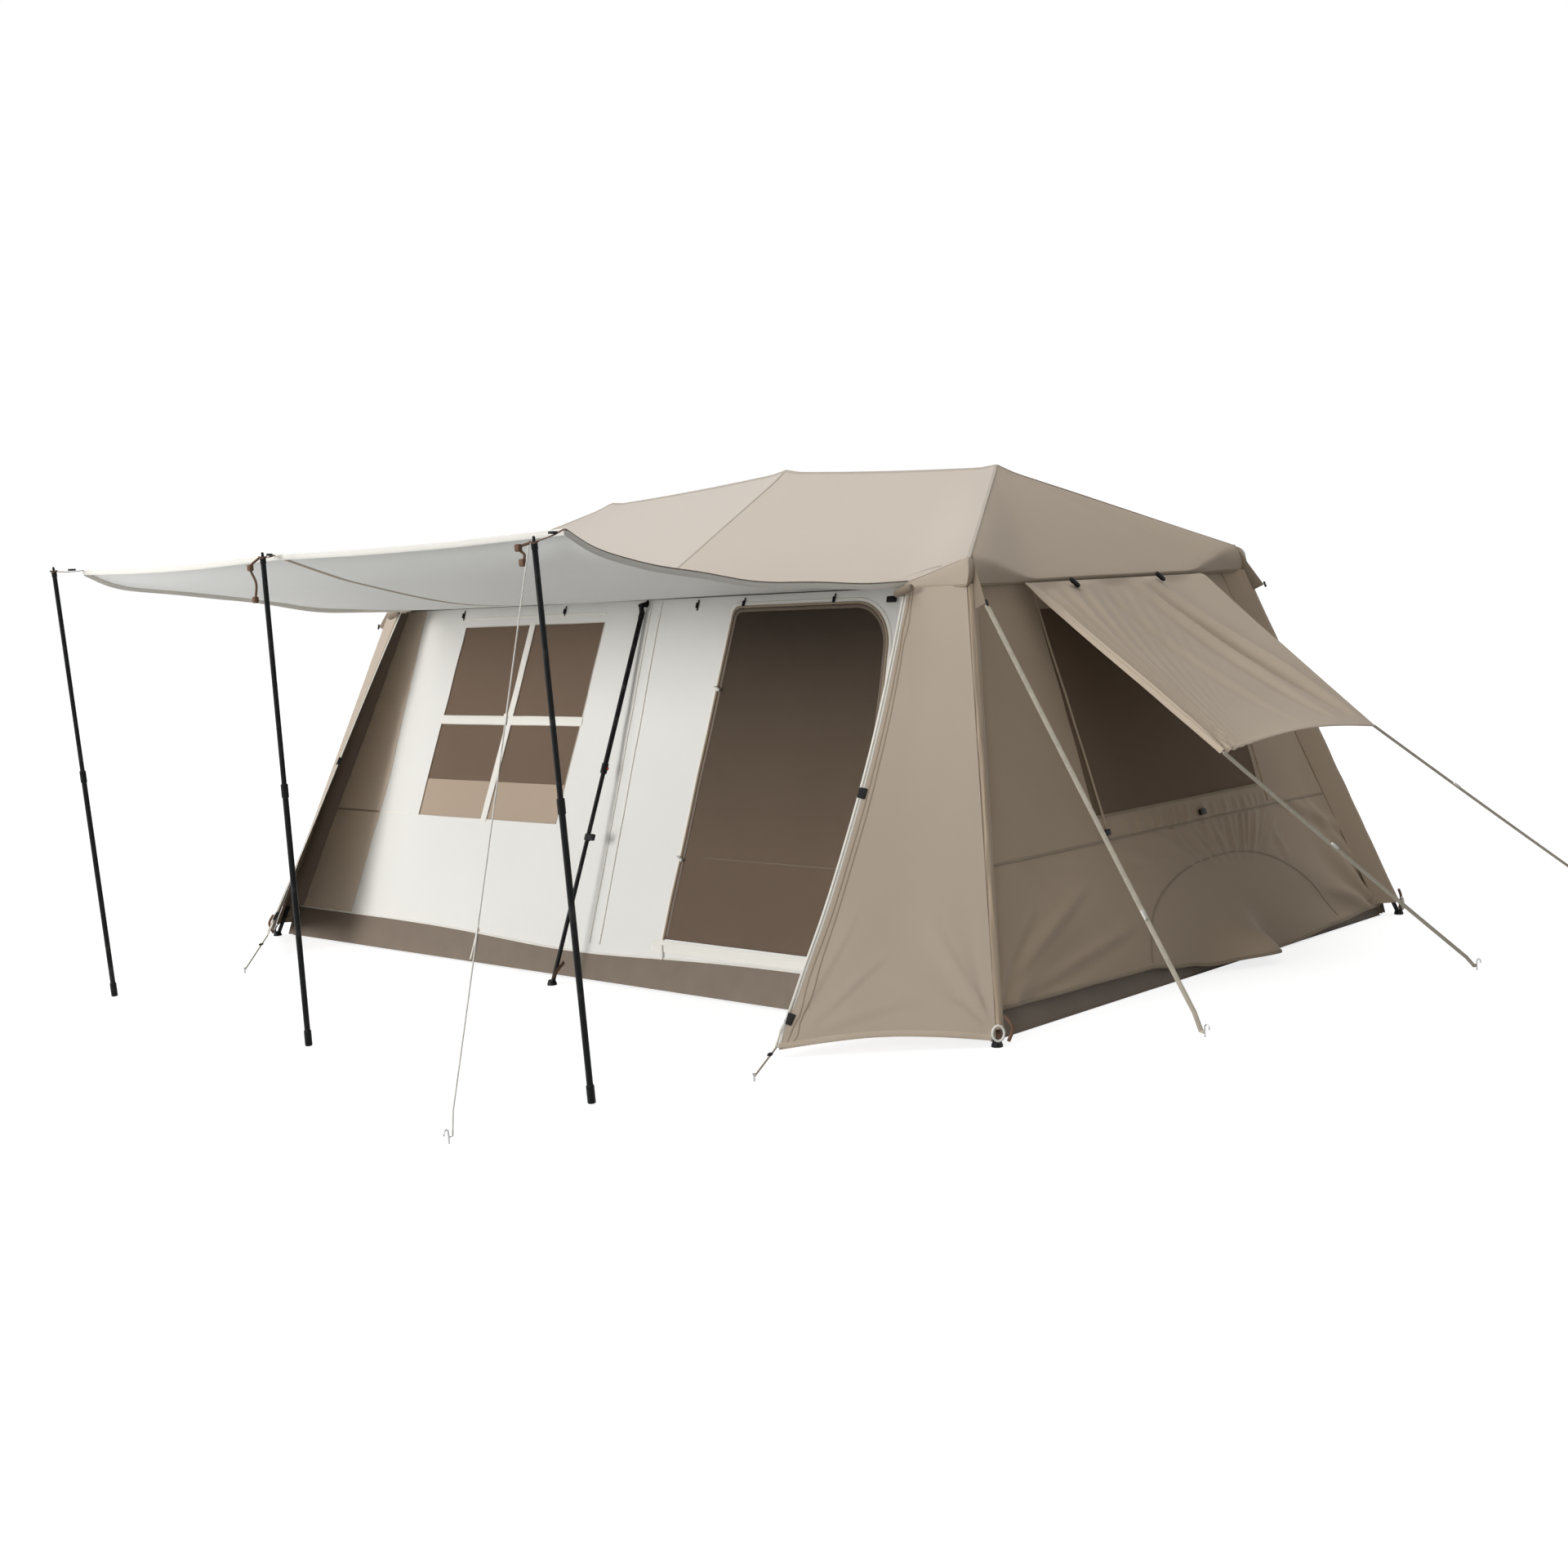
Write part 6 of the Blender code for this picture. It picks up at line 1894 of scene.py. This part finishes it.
class TENT_OT_back_and_floor(Operator):
    """Adds the back wall, the corner sleeves and the groundsheet"""
    bl_idname = "tent.back_and_floor"
    bl_label = "Back wall, sleeves and floor"

    def execute(self, context):
        wall = WALLS["back"]
        cloth_piece("back_wall_cloth", long_wall_cloth(wall), 110, 50, (4.48, 1.68), "hung",
                    "wall_cloth", rests_on=["roof_arm_back_middle"], stands_for="back_wall")
        wall_band("back_seam", wall, [(-2.06, LEVEL_SEAM_Z), (2.06, LEVEL_SEAM_Z)], 0.010,
                  "wall_seam", 0.001, 0.0009, 120)
        for end, word in ENDS:
            x = end * 1.02
            wall_band(f"back_upright_{word}", wall, [(x, 0.15), (x * 0.98, 1.58)], 0.012,
                      "wall_seam", 0.001, 0.0009, 40)
        skirt_cloth(wall, lambda x: sizes().skirt, 0.006, 14.0)
        for end, word in ENDS:
            for side, side_word in SIDES:
                self.sleeve(end, side, f"{side_word}_{word}")
        self.floor()
        return {"FINISHED"}

    @staticmethod
    def sleeve(end, side, corner):
        """Cloth that runs from the end wall round the outside of a corner leg."""
        def round_leg(z):
            share = min(1, wall_share(z))
            leg = leg_point(1, 1, z)
            wall_x, wall_y = between(*END_WALL_X, share), between(*LONG_WALL_Y, share)
            path = [(wall_x + 0.002, wall_y - 0.05)] + arc(leg.x, leg.y, SLEEVE_RADIUS, -20, 90, 8)
            last = (leg.x - 0.07, wall_y + 0.002) if side > 0 else (leg.x - 0.012,
                                                                    leg.y + SLEEVE_RADIUS)
            return path + [last]

        def surface(u, v):
            z = between(1.603, 0.06, v)
            path = round_leg(z)
            step = min(int(u * (len(path) - 1)), len(path) - 2)
            part = u * (len(path) - 1) - step
            (x0, y0), (x1, y1) = path[step], path[step + 1]
            soft = 0.003 * waves((u, z * 2.0, end + 3.0 * side), 0.25) * arched(u)
            x, y = between(x0, x1, part) + soft, between(y0, y1, part) + soft
            return mirrored((x, y, z), end, side)
        cloth_piece(f"leg_sleeve_{corner}", surface, 20, 90, (0.20, 1.75), "stretched",
                    "wall_cloth", flip=end * side > 0, rests_on=[f"upper_leg_{corner}"])

    @staticmethod
    def floor():
        def surface(u, v):
            x, y = between(-2.232, 2.232, u), between(-1.442, 1.442, v)
            edge = min(1 - abs(2 * u - 1), 1 - abs(2 * v - 1))
            z = 0.0018 + 0.0008 * waves((x, y, 1.0), 0.4) * ease(edge / 0.1)
            return Vector((x, y, z))
        cloth_piece("groundsheet_cloth", surface, 70, 46, (4.47, 2.89), "laid",
                    "groundsheet_cloth", thickness=0.001, slot="ground_brown",
                    stands_for="groundsheet")


class TENT_OT_hardware(Operator):
    """Adds the ties at the awning poles, the pull-down straps and the leg clips"""
    bl_idname = "tent.hardware"
    bl_label = "Ties and straps"

    def execute(self, context):
        self.pole_ties()
        self.leg_clips()
        self.foot_straps()
        return {"FINISHED"}

    @staticmethod
    def pole_ties():
        cord = {"slot": "guy_cord"}
        for u, word in ((0.0, "left"), (0.5, "middle"), (1.0, "right")):
            corner = front_roof(u, 1.0)
            ring = Vector(POLE_TOPS[word]) - UP * 0.020
            mid = ring.lerp(corner, 0.55) - UP * 0.004
            sweep(f"awning_strap_{word}", curve_through([ring, mid, corner], 8),
                  band_section(0.007, STRAP_HALF_DEPTH), "brown_tape", **cord)
            clip(f"awning_clip_{word}", ring.lerp(corner, 0.62), UP, corner - ring, 0.75)
            turns = [math.tau * k / 16 for k in range(16)]
            loop = [ring + Vector((0.013 * math.cos(a), 0.013 * math.sin(a),
                                   0.003 * math.sin(2 * a))) for a in turns]
            sweep(f"awning_loop_{word}", loop, round_section(0.003), "tie_braid", closed=True,
                  **cord)
        aside = Vector((-0.72, -0.69, 0))
        for word, drop, sway in (("middle", 0.150, 0.034), ("right", 0.060, 0.036)):
            start = Vector(POLE_TOPS[word]) + aside * 0.014 - UP * 0.022
            bends = ((0, 0), (1, 0.22), (0.5, 0.6), (0.7, 1))
            route = curve_through([start + aside * sway * out - UP * (drop * down)
                                   for out, down in bends], 8)
            tail = sweep(f"awning_tail_{word}", route, round_section(0.0045), "tie_braid", **cord)
            knots = [pillow_box(f"awning_knot_{word}_{i}", frame_at(route[i], (1, 0, 0), UP),
                                (0.011, 0.009, 0.012), "tie_braid", **cord)
                     for i in (8, len(route) - 1)]
            declare_cord(route, 0.009)

    @staticmethod
    def leg_clips():
        for side, word in SIDES:
            spot = leg_point(0, side, 0.60, middle=True)
            down = (leg_point(0, side, 0.5, True) - leg_point(0, side, 0.7, True)).normalized()
            half = [(0, 0.014), (0.0125, 0.014), (0.0145, 0.012)]
            profile = [(r, -h) for r, h in half] + half[::-1]
            turned(f"leg_ring_{word}", profile, frame_at(spot, (1, 0, 0), down), "black_plastic",
                   20, slot="hub_plastic")
            clip(f"leg_clip_{word}", spot + Vector((0.024, 0, 0)), (0, side, 0.4), (1, 0, 0), 1.3)

    @staticmethod
    def foot_straps():
        cord = {"slot": "guy_cord"}
        for end, word in ENDS:
            for side, side_word in SIDES:
                corner = f"{side_word}_{word}"
                foot = leg_point(end, side, 0.05)
                out = Vector((end * 0.75, side * 0.65, 0))
                across = Vector((-side * 0.65, end * 0.75, 0))
                path = [foot + mirrored((-0.03, -0.03, 0.05), end, side), foot + out * 0.022,
                        foot + out * 0.034 - UP * 0.032]
                sweep(f"foot_strap_{corner}", curve_through(path, 6),
                      band_section(sizes().webbing / 2, STRAP_HALF_DEPTH), "brown_tape", out=out,
                      **cord)
                ring = [foot + out * 0.038 + across * 0.021 * a + UP * (0.027 * b)
                        for a, b in round_section(1, 20)]
                sweep(f"foot_ring_{corner}", ring, round_section(0.0048), "cream_tape",
                      closed=True, **cord)
                loop = [foot + out * 0.030 + across * 0.025 + UP * 0.060,
                        foot + out * 0.046 + across * 0.050 + UP * 0.020,
                        foot + out * 0.034 + across * 0.036 - UP * 0.030]
                sweep(f"foot_loop_{corner}", curve_through(loop, 6), round_section(0.0065),
                      "tie_braid", **cord)
        for side, word in SIDES:
            foot = leg_point(0, side, 0.055, True)
            path = [foot + Vector((0, -side * 0.05, 0.03)), foot + Vector((0.014, 0, 0.005)),
                    foot + Vector((0.006, side * 0.020, -0.03))]
            sweep(f"foot_strap_{word}_middle", curve_through(path, 6),
                  band_section(0.4 * sizes().webbing, STRAP_HALF_DEPTH), "brown_tape",
                  out=(1, 0, 0), **cord)


class TENT_PT_sidebar(Panel):
    """Lists the steps that dress the tent, and its sizes and colours"""
    bl_label = "Ridge Tent"
    bl_idname = "TENT_PT_sidebar"
    bl_space_type = "VIEW_3D"
    bl_region_type = "UI"
    bl_category = "Tent"

    def draw(self, context):
        column = self.layout.column()
        for operator in OPERATORS:
            column.operator(operator.bl_idname)
        for label, group in (("Sizes", context.scene.tent_sizes),
                             ("Colours", context.scene.tent_colours)):
            box = self.layout.box()
            box.label(text=label)
            for name in group.__annotations__:
                box.prop(group, name)


OPERATORS = (TENT_OT_stage, TENT_OT_guys, TENT_OT_frame, TENT_OT_roof, TENT_OT_wings,
             TENT_OT_front_wall, TENT_OT_door, TENT_OT_end_walls, TENT_OT_flaps,
             TENT_OT_back_and_floor, TENT_OT_hardware)
CLASSES = (TentSizes, TentColours, *OPERATORS, TENT_PT_sidebar)


def register():
    for item in CLASSES:
        bpy.utils.register_class(item)
    bpy.types.Scene.tent_sizes = PointerProperty(type=TentSizes)
    bpy.types.Scene.tent_colours = PointerProperty(type=TentColours)


def unregister():
    del bpy.types.Scene.tent_colours
    del bpy.types.Scene.tent_sizes
    for item in reversed(CLASSES):
        bpy.utils.unregister_class(item)


def main():
    register()
    bpy.ops.tent.stage()
    bpy.ops.tent.guys()
    bpy.ops.tent.frame()
    bpy.ops.tent.roof()
    bpy.ops.tent.wings()
    bpy.ops.tent.front_wall()
    bpy.ops.tent.door()
    bpy.ops.tent.end_walls()
    bpy.ops.tent.flaps()
    bpy.ops.tent.back_and_floor()
    bpy.ops.tent.hardware()


if __name__ == "__main__":
    main()
